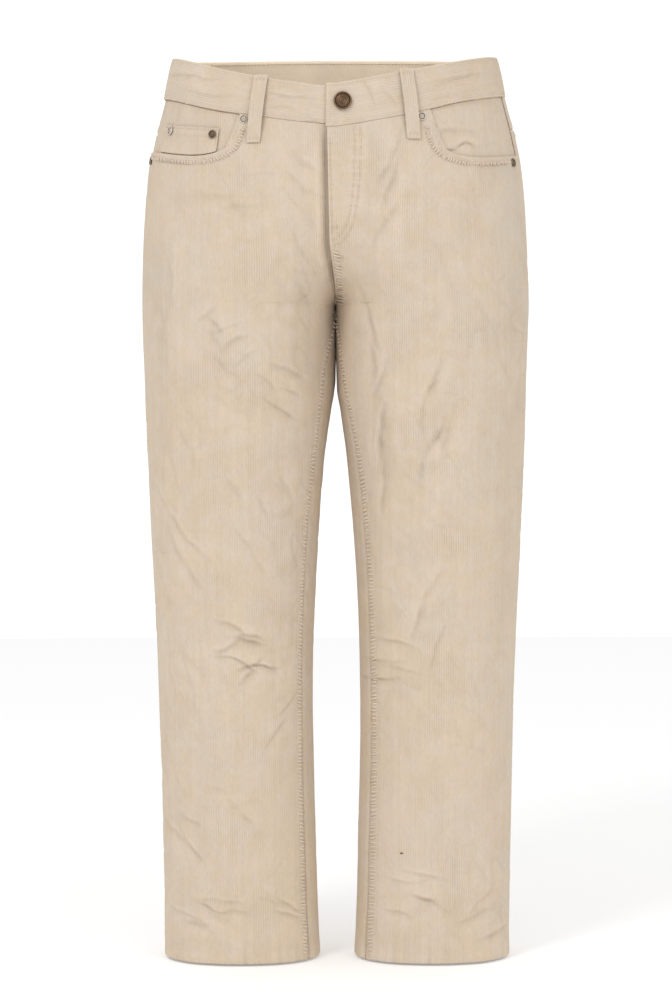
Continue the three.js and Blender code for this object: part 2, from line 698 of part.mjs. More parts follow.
const button = add("button", buttonGeometry(), BRASS);
placed(button, 1, buttonAngle, BUTTON.z, BAND_PROUD - BAND_WALL);

for (const rivet of RIVETS) {
  const mesh = add(rivet.name, rivetGeometry(), { ...BRASS, color: rivet.color });
  placed(mesh, Math.sign(rivet.x), angleAt(rivet.z, Math.abs(rivet.x)), rivet.z, rivet.off);
}

export default trousers;
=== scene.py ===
"""The looks of a pair of corduroy trousers: cloth shells, stitching, button and rivets over the frame.

Sizes are millimetres until a mesh is made. +Z is up, the front faces -Y and +X is the wearer's left.
"""

import functools
import itertools
import math

import bpy
import numpy as np
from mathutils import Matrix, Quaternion, Vector


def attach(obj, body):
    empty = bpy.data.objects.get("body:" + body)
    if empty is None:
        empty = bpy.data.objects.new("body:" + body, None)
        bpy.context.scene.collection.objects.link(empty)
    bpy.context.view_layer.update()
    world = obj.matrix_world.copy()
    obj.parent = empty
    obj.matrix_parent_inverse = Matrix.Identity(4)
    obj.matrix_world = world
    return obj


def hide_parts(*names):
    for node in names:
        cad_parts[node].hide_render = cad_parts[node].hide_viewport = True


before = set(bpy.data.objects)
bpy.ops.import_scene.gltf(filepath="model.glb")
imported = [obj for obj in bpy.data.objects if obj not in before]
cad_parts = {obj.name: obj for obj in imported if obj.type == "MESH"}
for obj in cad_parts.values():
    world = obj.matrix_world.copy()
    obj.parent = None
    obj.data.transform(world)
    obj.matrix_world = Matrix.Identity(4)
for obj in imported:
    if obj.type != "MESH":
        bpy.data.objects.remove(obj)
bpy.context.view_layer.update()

# ---- sizes ----

WALL = 1.4  # thickness of the cloth
SEAM = 0.3  # gap between two pieces that meet
BAND_SEAM = 0.3  # the same gap under the waistband
LAYER = 0.6  # room between cloths that lie on each other
SQUARENESS = 2.2  # power of the level section, where 2 is an ellipse
SETTLING = 6  # rounds in which an edge that depends on its own height is found

# The worn form: z, outer, inner, front, mid, back.
SECTIONS = np.array([
    (40, 145, 0, -95, 0, 99), (19, 152, 0, -97, 0, 101), (-20, 160.8, 0, -102, 1, 109),
    (-50, 168.9, 0, -106, 2, 117), (-80, 175.1, 0, -109, 3, 125), (-120, 178.9, 0, -110, 4, 131),
    (-165, 181.4, 0, -108, 5, 131), (-210, 182.3, 0, -104, 5, 121), (-290, 180.2, 1.2, -95, 4, 103),
    (-310, 179.5, 4.5, -93, 4, 99), (-355, 177.9, 10.7, -87, 3, 92), (-450, 173.9, 18.2, -77, 3, 82),
    (-545, 169.9, 22, -69, 4, 75), (-640, 167.2, 22, -61, 5, 70), (-735, 165.8, 20, -53, 6, 65),
    (-830, 164.7, 16.5, -46, 7, 60),
][::-1])

CROTCH_Z = -210
CROTCH_RISE = 95
CROTCH_CURVE = 1.25
VALLEY_RADIUS = 11
HEM_Z = -830
HEM_HEIGHT = 22

BAND_WALL = 3
BAND_PROUD = 0.8
BAND_BACK_HEIGHT = 39
BAND_HEIGHT = 39  # its even measure, along which its rows are placed
BAND_ARC = 150  # mm that a radian round the waist counts as, for its edges, rows and cloth
UNDERLAP_STEPPED, UNDERLAP_COVERED, UNDERLAP_LENGTH = 0.17, 0.075, 26
WAIST_SIDE_Z = 20.5
WAIST_BACK_RISE = 9.5
# The waist's dip on each side: drop, fullness, and the band's height at the front and at the side.
WAIST_DIP = {-1: (33.2, 1.65, 35.5, 38), 1: (31.5, 1.1, 39.8, 36.6)}

FLY_TOP, FLY_END, FLY_SEAM_Z = (-8, -16), (-5.4, -150), -205
TUCK_WIDTH, TUCK_DEPTH, TUCK_CLEAR, TUCK_FULL_Z, TUCK_END_Z = 10, 2.8, 12, -162, -180
SIDE_TURN = {-1: 2, 1: -12}
SIDE_TURN_HEM = -4
INSEAM_DEGREES, INSEAM_LENGTH = 31, 70
YOKE_DROP_SIDE, YOKE_DROP_CENTRE = 30, 62
GRAIN_X = 93  # the wales run straight down each panel along this line

POCKET = {-1: (84, 49, 3.8), 1: (84, 55, 3.8)}  # x of the inner end, depth and squareness
BEARER_MARGIN = 14
COIN_LEFT, COIN_RIGHT, COIN_OUTER_Z, COIN_INNER_Z, COIN_WALL = 157.5, 105.5, -43.2, -50.4, 1.2
BACK_POCKET = {
    "x": 80, "width": 122, "taper": 6, "height": 112, "point": 22, "below_yoke": 16,
    "wall": 1.3, "proud": 2.3,
}
BUTTON_X, BUTTON_Z, BUTTON_RADIUS, BUTTON_THICK = 6.9, -28, 8.3, 3.2
RIVET_RADIUS, RIVET_HEIGHT = 3.9, 1.7
SPECK_X, SPECK_Z = (58.6, 61, 63.4), -724  # a bit of lint on the left shin
LOOP_WIDTH, LOOP_WALL, LOOP_ABOVE = 12.5, 1.8, 1.2
LOOP_TALL = 50  # the even height that a loop's edges and cloth are measured by

# Belt loops: face, x at the top, x and z at the bottom.
LOOPS = {
    "belt_loop_front_right": ("front", -66, -73.8, -65),
    "belt_loop_front_left": ("front", 64, 71.3, -62),
    "belt_loop_side_right": ("back", -118, -124, -43),
    "belt_loop_side_left": ("back", 118, 124, -43),
    "belt_loop_back": ("back", 0, 0, -34),
}
LOOP_SWELL = [(0, 2.3), (0.12, 2.5), (0.35, 4.2), (0.6, 3.9), (0.78, 2.5), (0.9, 1), (1, 0.5)]

# Rivets: x, z, stand-off and whether the metal is the pale one.
RIVETS = {
    "rivet_pocket_right_front": (-82.5, -43, 0.4, True),
    "rivet_coin_outer": (-151.5, -50, 0.6, True),
    "rivet_coin_inner": (-111.5, -56, 0.5, False),
    "rivet_pocket_right_side": (-171.5, -75.5, 0.4, False),
    "rivet_pocket_left_front": (78.6, -41, 0.4, True),
    "rivet_pocket_left_side": (165, -79.5, 0.4, False),
}

# Broad folds, which the solids have too: face, then a bow as x and z of its start, pull and end,
# then half width and depth.
FOLDS = [
    ("front", -163, -142, -168, -235, -160, -363, 13, 3),
    ("front", -125, -219, -112, -252, -86, -289, 17, 3),
    ("front", -82, -294, -52, -306, -22, -324, 15, 3.5),
    ("front", -62, -361, -48, -383, -34, -408, 15, 3),
    ("front", -114, -511, -78, -529, -38, -544, 15, 4),
    ("front", -158, -687, -138, -720, -106, -753, 17, 3.5),
    ("front", -150, -775, -100, -794, -42, -777, 13, 3),
    ("front", 50, -65, 42, -111, 22, -190, 14, 3),
    ("front", 33, -262, 44, -336, 36, -417, 13, 3.5),
    ("front", 112, -282, 86, -349, 48, -423, 16, 4),
    ("front", 106, -471, 92, -501, 74, -531, 15, 3),
    ("front", 34, -560, 56, -570, 80, -570, 13, 3),
    ("front", 42, -759, 90, -794, 156, -771, 13, 3),
    ("back", -30, -262, -80, -246, -136, -262, 15, 3.5),
    ("back", 34, -256, 84, -244, 138, -268, 15, 3.5),
    ("back", -40, -500, -88, -518, -140, -500, 16, 4),
    ("back", 38, -512, 84, -524, 136, -504, 16, 4),
    ("back", -36, -560, -84, -580, -128, -566, 15, 3),
    ("back", 42, -572, 86, -582, 124, -560, 15, 3),
    ("back", -140, -700, -104, -742, -60, -770, 16, 3),
    ("back", 140, -690, 108, -738, 62, -762, 16, 3),
]

# Creases of the front, in groups: x and z of the middle, how far they spread each way, their lean in
# degrees from level, how many there are, their length and their depth.
CREASE_GROUPS = [
    # the right hip and thigh
    (-30, -110, 14, 28, -50, 4, 32, 1), (-95, -110, 30, 15, -10, 3, 30, 0.8),
    (-158, -190, 7, 25, -80, 3, 65, 0.9), (-100, -240, 20, 18, 30, 4, 30, 1.1),
    (-112, -248, 14, 20, -55, 3, 28, 1.1), (-50, -290, 18, 22, -35, 4, 34, 1.2),
    (-22, -180, 8, 20, -70, 2, 50, 1.1),
    # the right knee
    (-70, -410, 25, 35, -60, 5, 28, 0.9), (-140, -430, 8, 15, -68, 2, 80, 1.7),
    (-75, -530, 30, 22, -20, 5, 42, 1.9), (-85, -545, 20, 18, 35, 3, 32, 1.5),
    # the right shin and hem
    (-60, -600, 14, 14, 40, 2, 34, 1.3), (-140, -705, 14, 14, -45, 3, 32, 1.5),
    (-100, -680, 30, 12, -30, 4, 15, 0.9), (-120, -782, 28, 12, -8, 5, 38, 1.2),
    (-55, -777, 14, 10, -30, 3, 28, 1.3),
    # the left hip and thigh
    (45, -105, 8, 35, 75, 3, 60, 1.5), (24, -240, 14, 25, -75, 4, 50, 1.4),
    (42, -330, 5, 45, 85, 4, 60, 1.6), (92, -320, 14, 35, 60, 5, 50, 1.5),
    # the left knee and hem
    (85, -500, 16, 25, 60, 4, 45, 1.4), (52, -545, 14, 15, 0, 4, 36, 1.5),
    (135, -600, 10, 30, 80, 2, 15, 0.7), (75, -765, 25, 22, -10, 5, 36, 1.2),
    (138, -790, 12, 18, 35, 3, 34, 1.4),
]


def scattered(groups):
    """Uneven creases about the middle of each group, as rows of a bow, half width and depth."""
    wander = np.random.default_rng(23)
    rows = []
    for x, z, wide, high, lean, count, long, depth in groups:
        for step in np.linspace(-1, 1, count):
            across, up = wander.uniform(-1, 1), wander.uniform(-0.3, 0.3)
            middle = np.array([x + wide * across, z + high * (step + up)])
            turn = math.radians(lean + wander.uniform(-16, 16))
            along = np.array([math.cos(turn), math.sin(turn)])
            half = along * long * wander.uniform(0.35, 0.62)
            pull = middle + np.array([-along[1], along[0]]) * long * wander.uniform(-0.22, 0.22)
            bow = np.concatenate([middle - half, pull, middle + half])
            rows.append(("front", *bow, wander.uniform(4, 7), depth * wander.uniform(0.7, 1.2)))
    return rows


# Creases of the back: a bow, half width and depth.
BACK_CREASES = [
    (-46, -300, -78, -292, -104, -304, 6, 1.4), (52, -296, 80, -286, 112, -300, 6, 1.5),
    (-24, -236, -58, -252, -98, -246, 6, 1.6), (26, -232, 66, -250, 104, -242, 6, 1.6),
    (-52, -466, -78, -474, -112, -468, 6, 1.5), (56, -462, 84, -474, 118, -470, 6, 1.5),
    (-48, -500, -84, -520, -128, -506, 7, 2.2), (46, -508, 82, -524, 122, -512, 7, 2.2),
    (-38, -540, -66, -548, -96, -540, 5, 1.2), (44, -544, 78, -552, 110, -538, 5, 1.2),
    (-56, -572, -84, -586, -112, -574, 6, 1.6), (58, -578, 86, -588, 108, -568, 6, 1.6),
    (-60, -622, -84, -634, -106, -630, 5, 1.1), (62, -630, 88, -640, 118, -632, 5, 1.1),
    (-122, -330, -128, -372, -124, -420, 7, 1.3), (126, -340, 132, -378, 128, -430, 7, 1.3),
    (-98, -352, -92, -392, -100, -438, 6, 1), (96, -360, 92, -398, 102, -436, 6, 1),
    (-14, -200, -22, -224, -40, -244, 6, 1.6), (14, -198, 24, -222, 44, -240, 6, 1.6),
    (-136, -706, -108, -744, -70, -766, 6, 1.8), (134, -700, 106, -738, 72, -760, 6, 1.8),
    (-44, -784, -82, -796, -128, -782, 5, 1.4), (42, -780, 86, -796, 132, -786, 5, 1.4),
    (-150, -640, -144, -668, -146, -694, 5, 1), (150, -636, 146, -662, 148, -690, 5, 1),
]
CREASES = scattered(CREASE_GROUPS) + [("back", *row) for row in BACK_CREASES]

# Buckles in the waistband, in the columns of the folds.
BAND_CREASES = [
    ("front", -155, 4, -132, -1, -100, -8, 4, 1.1),
    ("front", -136, -14, -118, -24, -86, -22, 4, 0.9),
    ("front", -62, -20, -43, -26, -13, -26, 3, 0.9),
    ("front", -60, -34, -48, -31, -36, -34, 3, 0.5),
    ("front", 26, -8, 34, -20, 37, -37, 3, 1),
    ("front", 44, -18, 52, -24, 58, -34, 4, 0.6),
    ("front", 88, -10, 112, -6, 138, 2, 5, 0.8),
    ("front", 84, -26, 104, -24, 128, -14, 4, 0.6),
    ("back", -96, 6, -70, 3, -40, 8, 5, 0.9),
    ("back", 30, 9, 62, 4, 98, 6, 5, 0.9),
    ("back", -84, -14, -60, -10, -34, -13, 4, 0.6),
    ("back", 44, -12, 70, -16, 96, -10, 4, 0.6),
]

# The tuck in the left pocket's cloth, in the same columns.
BEARER_TUCK = [
    ("front", 102, -71, 108, -70, 113, -70, 2.4, 1.6),
    ("front", 112, -69, 121, -61, 131, -69, 2.6, 1.6),
    ("front", 94, -57, 109, -48, 134, -57, 6, 1.1),
]

EDGE = np.array([0, 0.3, 0.8, 1.5, 2.5, 3.8, 5.4, 7.4, 10])  # grid lines beside an edge
SEAM_EDGE = np.array([0, 0.3, 0.8, 1.5, 2.4, 3.4, 4.4, 5.6, 7, 8.4, 9.8, 11.4, 13, 15])  # beside an inseam
INSEAM_WIDTH = {-1: 9, 1: 11}  # from the inseam to its farther stitched row

# The gap at the front of the thighs: heights, and how far each side stands back from the middle there.
PARTING_Z = [-335, -300, -270, -245, -226, -206]
PARTING = {-1: [0, 4, 7, 6, 3, 0], 1: [0, 1, 1, 1, 0.5, 0]}
LAPPED = 2.2  # at the back of the thighs, how far the right passes the middle and the left stands back
FOLD_SHARE, CREASE_SHARE = 0.6, 0.92  # how much of the depths in the tables shows


# ---- the worn surface ----


def lerp(a, b, t):
    return a + (b - a) * t


def ease(low, high, value):
    t = np.clip((value - low) / (high - low), 0, 1)
    return t * t * (3 - 2 * t)


def signed_power(value, power):
    return np.sign(value) * np.abs(value) ** power


def length(vectors):
    return np.linalg.norm(vectors, axis=-1)


def hand_of(side):
    return "left" if side > 0 else "right"


def lines_between(start, end, middle, edge=EDGE):
    """Grid lines that are close together at both ends and even between them."""
    even = np.linspace(start + edge[-1], end - edge[-1], middle + 2)[1:-1]
    return np.concatenate([start + edge, even, end - edge[::-1]])


def column(k, z):
    """A smooth curve through a column of SECTIONS."""
    heights, values = SECTIONS[:, 0], SECTIONS[:, k]
    last = len(heights) - 1
    before, after = np.maximum(np.arange(last + 1) - 1, 0), np.minimum(np.arange(last + 1) + 1, last)
    slopes = (values[after] - values[before]) / (heights[after] - heights[before])
    i = np.clip(np.searchsorted(heights, z, side="right") - 1, 0, last - 1)
    span = heights[i + 1] - heights[i]
    t = np.clip((z - heights[i]) / span, 0, 1)
    t2, t3 = t * t, t * t * t
    start = (2 * t3 - 3 * t2 + 1) * values[i] + (t3 - 2 * t2 + t) * span * slopes[i]
    return start + (3 * t2 - 2 * t3) * values[i + 1] + (t3 - t2) * span * slopes[i + 1]


def section(z):
    """Half of a level section, a superellipse: half width, centre, valley, front, mid and back."""
    z = np.asarray(z, float)
    below = z < CROTCH_Z
    outer = column(1, z) - SEAM / 2
    inner = np.where(below, np.maximum(column(2, z) - SEAM / 2, 0), 0)
    rise = np.clip((z - CROTCH_Z) / CROTCH_RISE, 0, 1)
    share = 1 - rise**CROTCH_CURVE
    half = np.where(below, (outer - inner) / 2, outer / (1 + share))
    centre = np.where(below, (outer + inner) / 2, half * share)
    valley = np.where(below, 0, VALLEY_RADIUS * ease(0, 0.5, rise))
    return half, centre, valley, column(3, z), column(4, z), column(5, z)


def parting(side, angle, z):
    """How far an inner thigh stands off its place: apart at the front, and lapped over at the back."""
    left = np.asarray(side) > 0
    wide = np.where(left, np.interp(z, PARTING_Z, PARTING[1]), np.interp(z, PARTING_Z, PARTING[-1]))
    turn = np.where(angle > math.pi, angle - 2 * math.pi, angle)
    lapped = ease(-0.06, -0.2, turn) * ease(-1.1, -0.6, turn) * ease(-302, -282, z) * ease(-172, -190, z)
    return wide * ease(0.1, 0.45, turn) * ease(1.3, 0.6, turn) + np.where(left, LAPPED, -LAPPED) * lapped


def plain(side, angle, z):
    """The surface without creases. The angle is 0 innermost and runs over the front, side and back."""
    half, centre, valley, front, mid, back = section(z)
    cosine, sine = np.cos(angle), np.sin(angle)
    x = centre - half * signed_power(cosine, 2 / SQUARENESS)
    x = x + parting(side, angle, z)
    rounded = np.minimum(np.hypot(x, valley), centre)
    across = np.maximum(centre - np.maximum(rounded, x), 0) / half
    in_valley = np.maximum(1 - across**SQUARENESS, 0) ** (1 / SQUARENESS)
    reach = np.where((valley > 0) & (centre > 0) & (x < centre), in_valley, np.abs(sine) ** (2 / SQUARENESS))
    y = np.where(sine >= 0, lerp(mid, front, reach), lerp(mid, back, reach))
    return np.stack(np.broadcast_arrays(side * (x + SEAM / 2), y, np.asarray(z, float)), -1)


def plain_normal(side, angle, z):
    along = plain(side, angle + 0.01, z) - plain(side, angle - 0.01, z)
    up = plain(side, angle, z + 1) - plain(side, angle, z - 1)
    out = np.cross(along, up) * np.asarray(side)[..., None]
    return out / np.maximum(length(out), 1e-9)[..., None]


def angle_at(z, x):
    """The angle at which the front passes a distance x from the centre seam."""
    half, centre = section(z)[:2]
    share = np.clip((centre - x) / half, -1, 1)
    return np.arccos(signed_power(share, SQUARENESS / 2))


def back_angle_at(z, x):
    return 2 * math.pi - angle_at(z, x)


def nudged(side, angle, z, distance):
    arc = length(plain(side, angle + 0.01, z) - plain(side, angle - 0.01, z))
    return angle + distance * 0.02 / np.maximum(arc, 1e-3)


# ---- creases and rumples ----


def bow_path(bow, steps=10):
    t = np.linspace(0, 1, steps + 1)[:, None]
    start, pull, end = (np.array(bow[i : i + 2], float) for i in (1, 3, 5))
    return lerp(lerp(start, pull, t), lerp(pull, end, t), t)


def near(points, path, reach):
    """Signed distance from each point to a path, and the share of the path where it is nearest."""
    flat = points.reshape(-1, points.shape[-1])
    distance, share = np.full(len(flat), 1e6), np.zeros(len(flat))
    inside = np.all((flat > path.min(0) - reach) & (flat < path.max(0) + reach), axis=1)
    chosen = flat[inside]
    best, best_share = distance[inside], share[inside]
    for i, (a, b) in enumerate(zip(path[:-1], path[1:])):
        step = b - a
        t = np.clip((chosen - a) @ step / (step @ step), 0, 1)
        rest = chosen - a - t[:, None] * step
        found = length(rest)
        if len(step) == 2:
            turn = step[0] * rest[:, 1] - step[1] * rest[:, 0]
            found = np.where(turn < 0, -found, found)
        closer = np.abs(found) < np.abs(best)
        best = np.where(closer, found, best)
        best_share = np.where(closer, (i + t) / (len(path) - 1), best_share)
    distance[inside], share[inside] = best, best_share
    return distance.reshape(points.shape[:-1]), share.reshape(points.shape[:-1])


def creased(point, angle, table):
    """Depth of the creases: each is a trough with a sharp ridge on one side, fading out at both ends."""
    depth = np.zeros(point.shape[:-1])
    front = np.sin(angle) >= 0
    flat = point[..., [0, 2]]
    flat = flat + np.stack([noise(point, (14, 14, 14), 12), noise(point, (14, 14, 14), 13)], -1) * 3
    uneven = 1 + 0.8 * noise(point, (18, 18, 18), 14)
    for bow in table:
        width, deep = bow[7:]
        distance, share = near(flat, bow_path(bow), 4 * width)
        d = np.clip(distance / width, -9, 9)
        fade = np.sin(math.pi * np.clip(share, 0.02, 0.98)) ** 0.6
        profile = 0.4 * np.exp(-((d - 1.5) ** 2)) - np.exp(-(d**2))
        if width < 10:
            ridge, cut = np.exp(-(((d - 0.6) / 0.34) ** 2)), np.exp(-((d / 0.3) ** 2))
            profile = 0.55 * profile + 0.5 * ridge - 0.6 * cut
        depth += np.where(front == (bow[0] == "front"), deep * fade * profile, 0)
    return depth * uneven


LATTICE = np.random.default_rng(11).normal(size=(32, 32, 32, 3))
LATTICE /= length(LATTICE)[..., None]


def noise(point, size, seed):
    """Smooth noise of about -0.7 to 0.7 with features as large as size."""
    place = point / np.asarray(size, float) + seed * 7.31
    cell = np.floor(place).astype(int)
    part = place - cell
    fade = part**3 * (part * (part * 6 - 15) + 10)
    total = np.zeros(point.shape[:-1])
    for corner in itertools.product((0, 1), repeat=3):
        slope = LATTICE[tuple(np.moveaxis((cell + corner) % 32, -1, 0))]
        weight = np.prod(np.where(np.array(corner) == 1, fade, 1 - fade), axis=-1)
        total += weight * np.sum(slope * (part - corner), axis=-1)
    return total


def rumpled(point):
    """Small uneven dents and thin crinkles, which are weaker on the hips and stronger below them."""
    broad = noise(point, (55, 55, 80), 1)
    slanted = point + point[..., [2, 0, 0]] * (0.45, 0, 0)
    crinkle = np.maximum(1 - np.abs(noise(slanted, (26, 26, 38), 2)) * 6, 0) ** 2
    patch = ease(-0.1, 0.25, noise(point, (70, 70, 100), 3))
    fine = noise(slanted, (12, 12, 18), 4)
    return 1.1 * broad - 0.6 * crinkle * patch + 0.4 * fine * (0.4 + patch)


def relief(side, angle, point):
    """How far the cloth stands off the plain surface."""
    z = point[..., 2]
    facing = ease(0.05, 0.45, np.abs(np.sin(angle)))
    clear = ease(-46, -66, z) * ease(HEM_Z, HEM_Z + 26, z)
    calm = lerp(0.15, 1, ease(-70, -130, z)) * lerp(0.4, 1, ease(HEM_Z, HEM_Z + 30, z))
    worn = creased(point, angle, FOLDS) * FOLD_SHARE + creased(point, angle, CREASES) * CREASE_SHARE
    from_inseam = np.minimum(angle, 2 * math.pi - angle)
    inner_thigh = ease(0.9, 0.5, from_inseam) * ease(-320, -290, z) * ease(-180, -200, z)
    return (worn * facing * clear + rumpled(point) * calm) * (1 - inner_thigh)


class Cloth:
    """The worn surface at a grid of places. Called with an offset, it gives points that far off it."""

    def __init__(self, side, angle, z, extra=0):
        angle, z = np.broadcast_arrays(angle, z)
        self.point, self.out = plain(side, angle, z), plain_normal(side, angle, z)
        self.height = relief(side, angle, self.point) + extra

    def __call__(self, offset):
        return self.point + self.out * np.asarray(self.height + offset)[..., None]


def smoothed(values, rows, columns):
    """A grid of values, averaged over a window twice."""
    for _ in range(2):
        for axis, reach in ((0, rows), (1, columns)):
            pads = [(0, 0), (0, 0)]
            pads[axis] = (reach, reach)
            wide = np.pad(values, pads, mode="edge")
            count = values.shape[axis]
            window = 2 * reach + 1
            values = sum(np.take(wide, range(k, k + count), axis) for k in range(window)) / window
    return values


def lowest(values, reach):
    """A grid of values, each replaced by the lowest one within reach."""
    for axis in (0, 1):
        pads = [(0, 0), (0, 0)]
        pads[axis] = (reach, reach)
        wide = np.pad(values, pads, mode="edge")
        count = values.shape[axis]
        values = np.min([np.take(wide, range(k, k + count), axis) for k in range(2 * reach + 1)], axis=0)
    return values


# ---- lines that the pieces are cut along ----


def waist_top(side, angle):
    right, left = (dip_of(hand, angle) for hand in (-1, 1))
    back = WAIST_SIDE_Z + WAIST_BACK_RISE * np.abs(np.sin(angle)) ** 1.4
    return np.where(np.sin(angle) >= 0, np.where(np.asarray(side) > 0, left, right), back)


def sideways(angle):
    """How far out to the side a point of the waist is, from the centre front (0) to the side (1)."""
    return np.maximum(-np.cos(angle), 0) ** (2 / SQUARENESS)


def dip_of(side, angle):
    drop, fullness = WAIST_DIP[side][:2]
    return WAIST_SIDE_Z - drop * (1 - sideways(angle) ** fullness)


def band_height(side, angle):
    (_, _, front_right, side_right), (_, _, front_left, side_left) = WAIST_DIP[-1], WAIST_DIP[1]
    front = np.where(np.asarray(side) > 0, front_left, front_right)
    beside = np.where(np.asarray(side) > 0, side_left, side_right)
    sine = np.sin(angle)
    at_front = lerp(front, beside, ease(0.35, 0.75, sideways(angle)))
    return np.where(sine < 0, lerp(beside, BAND_BACK_HEIGHT, ease(0, 0.6, -sine)), at_front)


def waist_seam(side, angle):
    return waist_top(side, angle) - band_height(side, angle)


def yoke_seam(side, angle):
    toward_centre = np.clip((angle - math.pi) / (math.pi / 2), 0, 1)
    return waist_seam(side, angle) - lerp(YOKE_DROP_SIDE, YOKE_DROP_CENTRE, toward_centre)


def side_seam(side, z):
    return math.pi + np.radians(lerp(SIDE_TURN[side], SIDE_TURN_HEM, ease(-80, -400, z)))


def inseam(z):
    return np.radians(np.maximum(INSEAM_DEGREES * (1 - np.exp((z - CROTCH_Z) / INSEAM_LENGTH)), 0))


def fly_edge(z):
    t = (z - FLY_END[1]) / (FLY_TOP[1] - FLY_END[1])
    return lerp(FLY_END[0], FLY_TOP[0], t) * ease(FLY_SEAM_Z, FLY_END[1], z)


def front_start(side, z):
    if z < CROTCH_Z:
        return nudged(side, inseam(z), z, SEAM / 2)
    tucked = TUCK_WIDTH * ease(TUCK_END_Z, TUCK_FULL_Z, z)
    return angle_at(z, fly_edge(z) if side > 0 else -(fly_edge(z) + tucked))


def back_end(side, z):
    if z >= CROTCH_Z:
        return 2 * math.pi - angle_at(z, 0)
    return nudged(side, 2 * math.pi + inseam(z), z, -SEAM / 2)


def front_end(side, z):
    return nudged(side, side_seam(side, z), z, -SEAM / 2)


def back_start(side, z):
    return nudged(side, side_seam(side, z), z, SEAM / 2)


def fly_tuck(side, point):
    """How deep the right front lies at the fly, so that the left front covers it."""
    if side > 0:
        return np.zeros(point.shape[:-1])
    x, z = point[..., 0], point[..., 2]
    share = ease(FLY_SEAM_Z, TUCK_END_Z, z)
    return TUCK_DEPTH * share * ease(fly_edge(z) - TUCK_CLEAR, fly_edge(z) - 2.5, x)


def opening_edge(side, turn, margin=0):
    """The front pocket's edge, from the side seam (0) to its inner end (pi / 2)."""
    side_z = float(waist_seam(side, math.pi))
    open_x, depth, corner = POCKET[side]
    end = front_end(side, side_z - depth)
    start = nudged(side, angle_at(side_z, open_x), side_z, -margin)
    angle = lerp(end, start, np.sin(turn) ** (2 / corner))
    drop = (depth + margin) * np.maximum(np.cos(turn), 0) ** (2 / corner)
    return angle, waist_seam(side, angle) - drop


# ---- cloth pieces ----


class Lane:
    """A strip of the surface between two edges. A place on it is a share of the way across and a height."""

    def __init__(self, side, start, end, grain, heights):
        self.side = side
        self.heights = np.unique(heights)
        self.shares = np.linspace(0, 1, 121)
        rows = [self.measured(z, start, end, grain) for z in self.heights]
        self.angles = np.array([row[0] for row in rows])
        self.widths, self.grains = np.array([row[1:] for row in rows]).T

    def measured(self, z, start, end, grain):
        angles = np.linspace(start(self.side, z), end(self.side, z), 201)
        arc = np.cumsum(length(np.diff(plain(self.side, angles, z), axis=0, prepend=0)))
        arc -= arc[0]
        return np.interp(self.shares, arc / arc[-1], angles), arc[-1], np.interp(grain(z), angles, arc)

    def angle(self, share, z):
        share, z = np.broadcast_arrays(share, z)
        k = np.clip(np.searchsorted(self.heights, z, side="right") - 1, 0, len(self.heights) - 2)
        up = np.clip((z - self.heights[k]) / (self.heights[k + 1] - self.heights[k]), 0, 1)
        place = np.clip(share, 0, 1) * (len(self.shares) - 1)
        i = np.minimum(place.astype(int), len(self.shares) - 2)
        across = place - i
        low = lerp(self.angles[k, i], self.angles[k, i + 1], across)
        return lerp(low, lerp(self.angles[k + 1, i], self.angles[k + 1, i + 1], across), up)

    def share(self, angle, z):
        pairs = zip(np.ravel(angle), np.ravel(z))
        return np.array([np.interp(a, self.angle(self.shares, h), self.shares) for a, h in pairs])

    def width(self, z):
        return np.interp(z, self.heights, self.widths)

    def cut(self, share, z):
        """Place on the flat cut in metres: across the wales and along them."""
        across = share * self.width(z) - np.interp(z, self.heights, self.grains)
        return np.stack(np.broadcast_arrays(across, z), -1) / 1000


def mesh_object(name, points, faces, materials, uv=None, slots=None, shade=None):
    mesh = bpy.data.meshes.new(name)
    mesh.from_pydata((points / 1000).tolist(), [], faces if isinstance(faces, list) else faces.tolist())
    mesh.polygons.foreach_set("use_smooth", np.ones(len(faces), bool))
    if uv is not None:
        corners = np.empty(len(mesh.loops), np.int32)
        mesh.loops.foreach_get("vertex_index", corners)
        layer = mesh.uv_layers.new(name="cut")
        layer.data.foreach_set("uv", uv[corners].astype(np.float32).ravel())
    if shade is not None:
        # The cloth's painted shade and highlight, and where the metal is worn, as an attribute that the
        # materials read.
        mesh.attributes.new("painted_shade_and_wear", "FLOAT", "POINT").data.foreach_set("value", shade.astype(np.float32))
    for material in materials:
        mesh.materials.append(material)
    if slots is not None:
        mesh.polygons.foreach_set("material_index", slots.astype(np.int32))
    piece = bpy.data.objects.new(name, mesh)
    bpy.context.collection.objects.link(piece)
    return piece


def quads_of(at):
    return np.stack([at[:-1, :-1], at[1:, :-1], at[1:, 1:], at[:-1, 1:]], -1).reshape(-1, 4)


def ring_of(at):
    return np.concatenate([at[0], at[1:, -1], at[-1, -2::-1], at[-2:0:-1, 0]])


def picked(count, step):
    """Every so many places of a row, with both ends."""
    return np.unique(np.append(np.arange(0, count, step), count - 1))


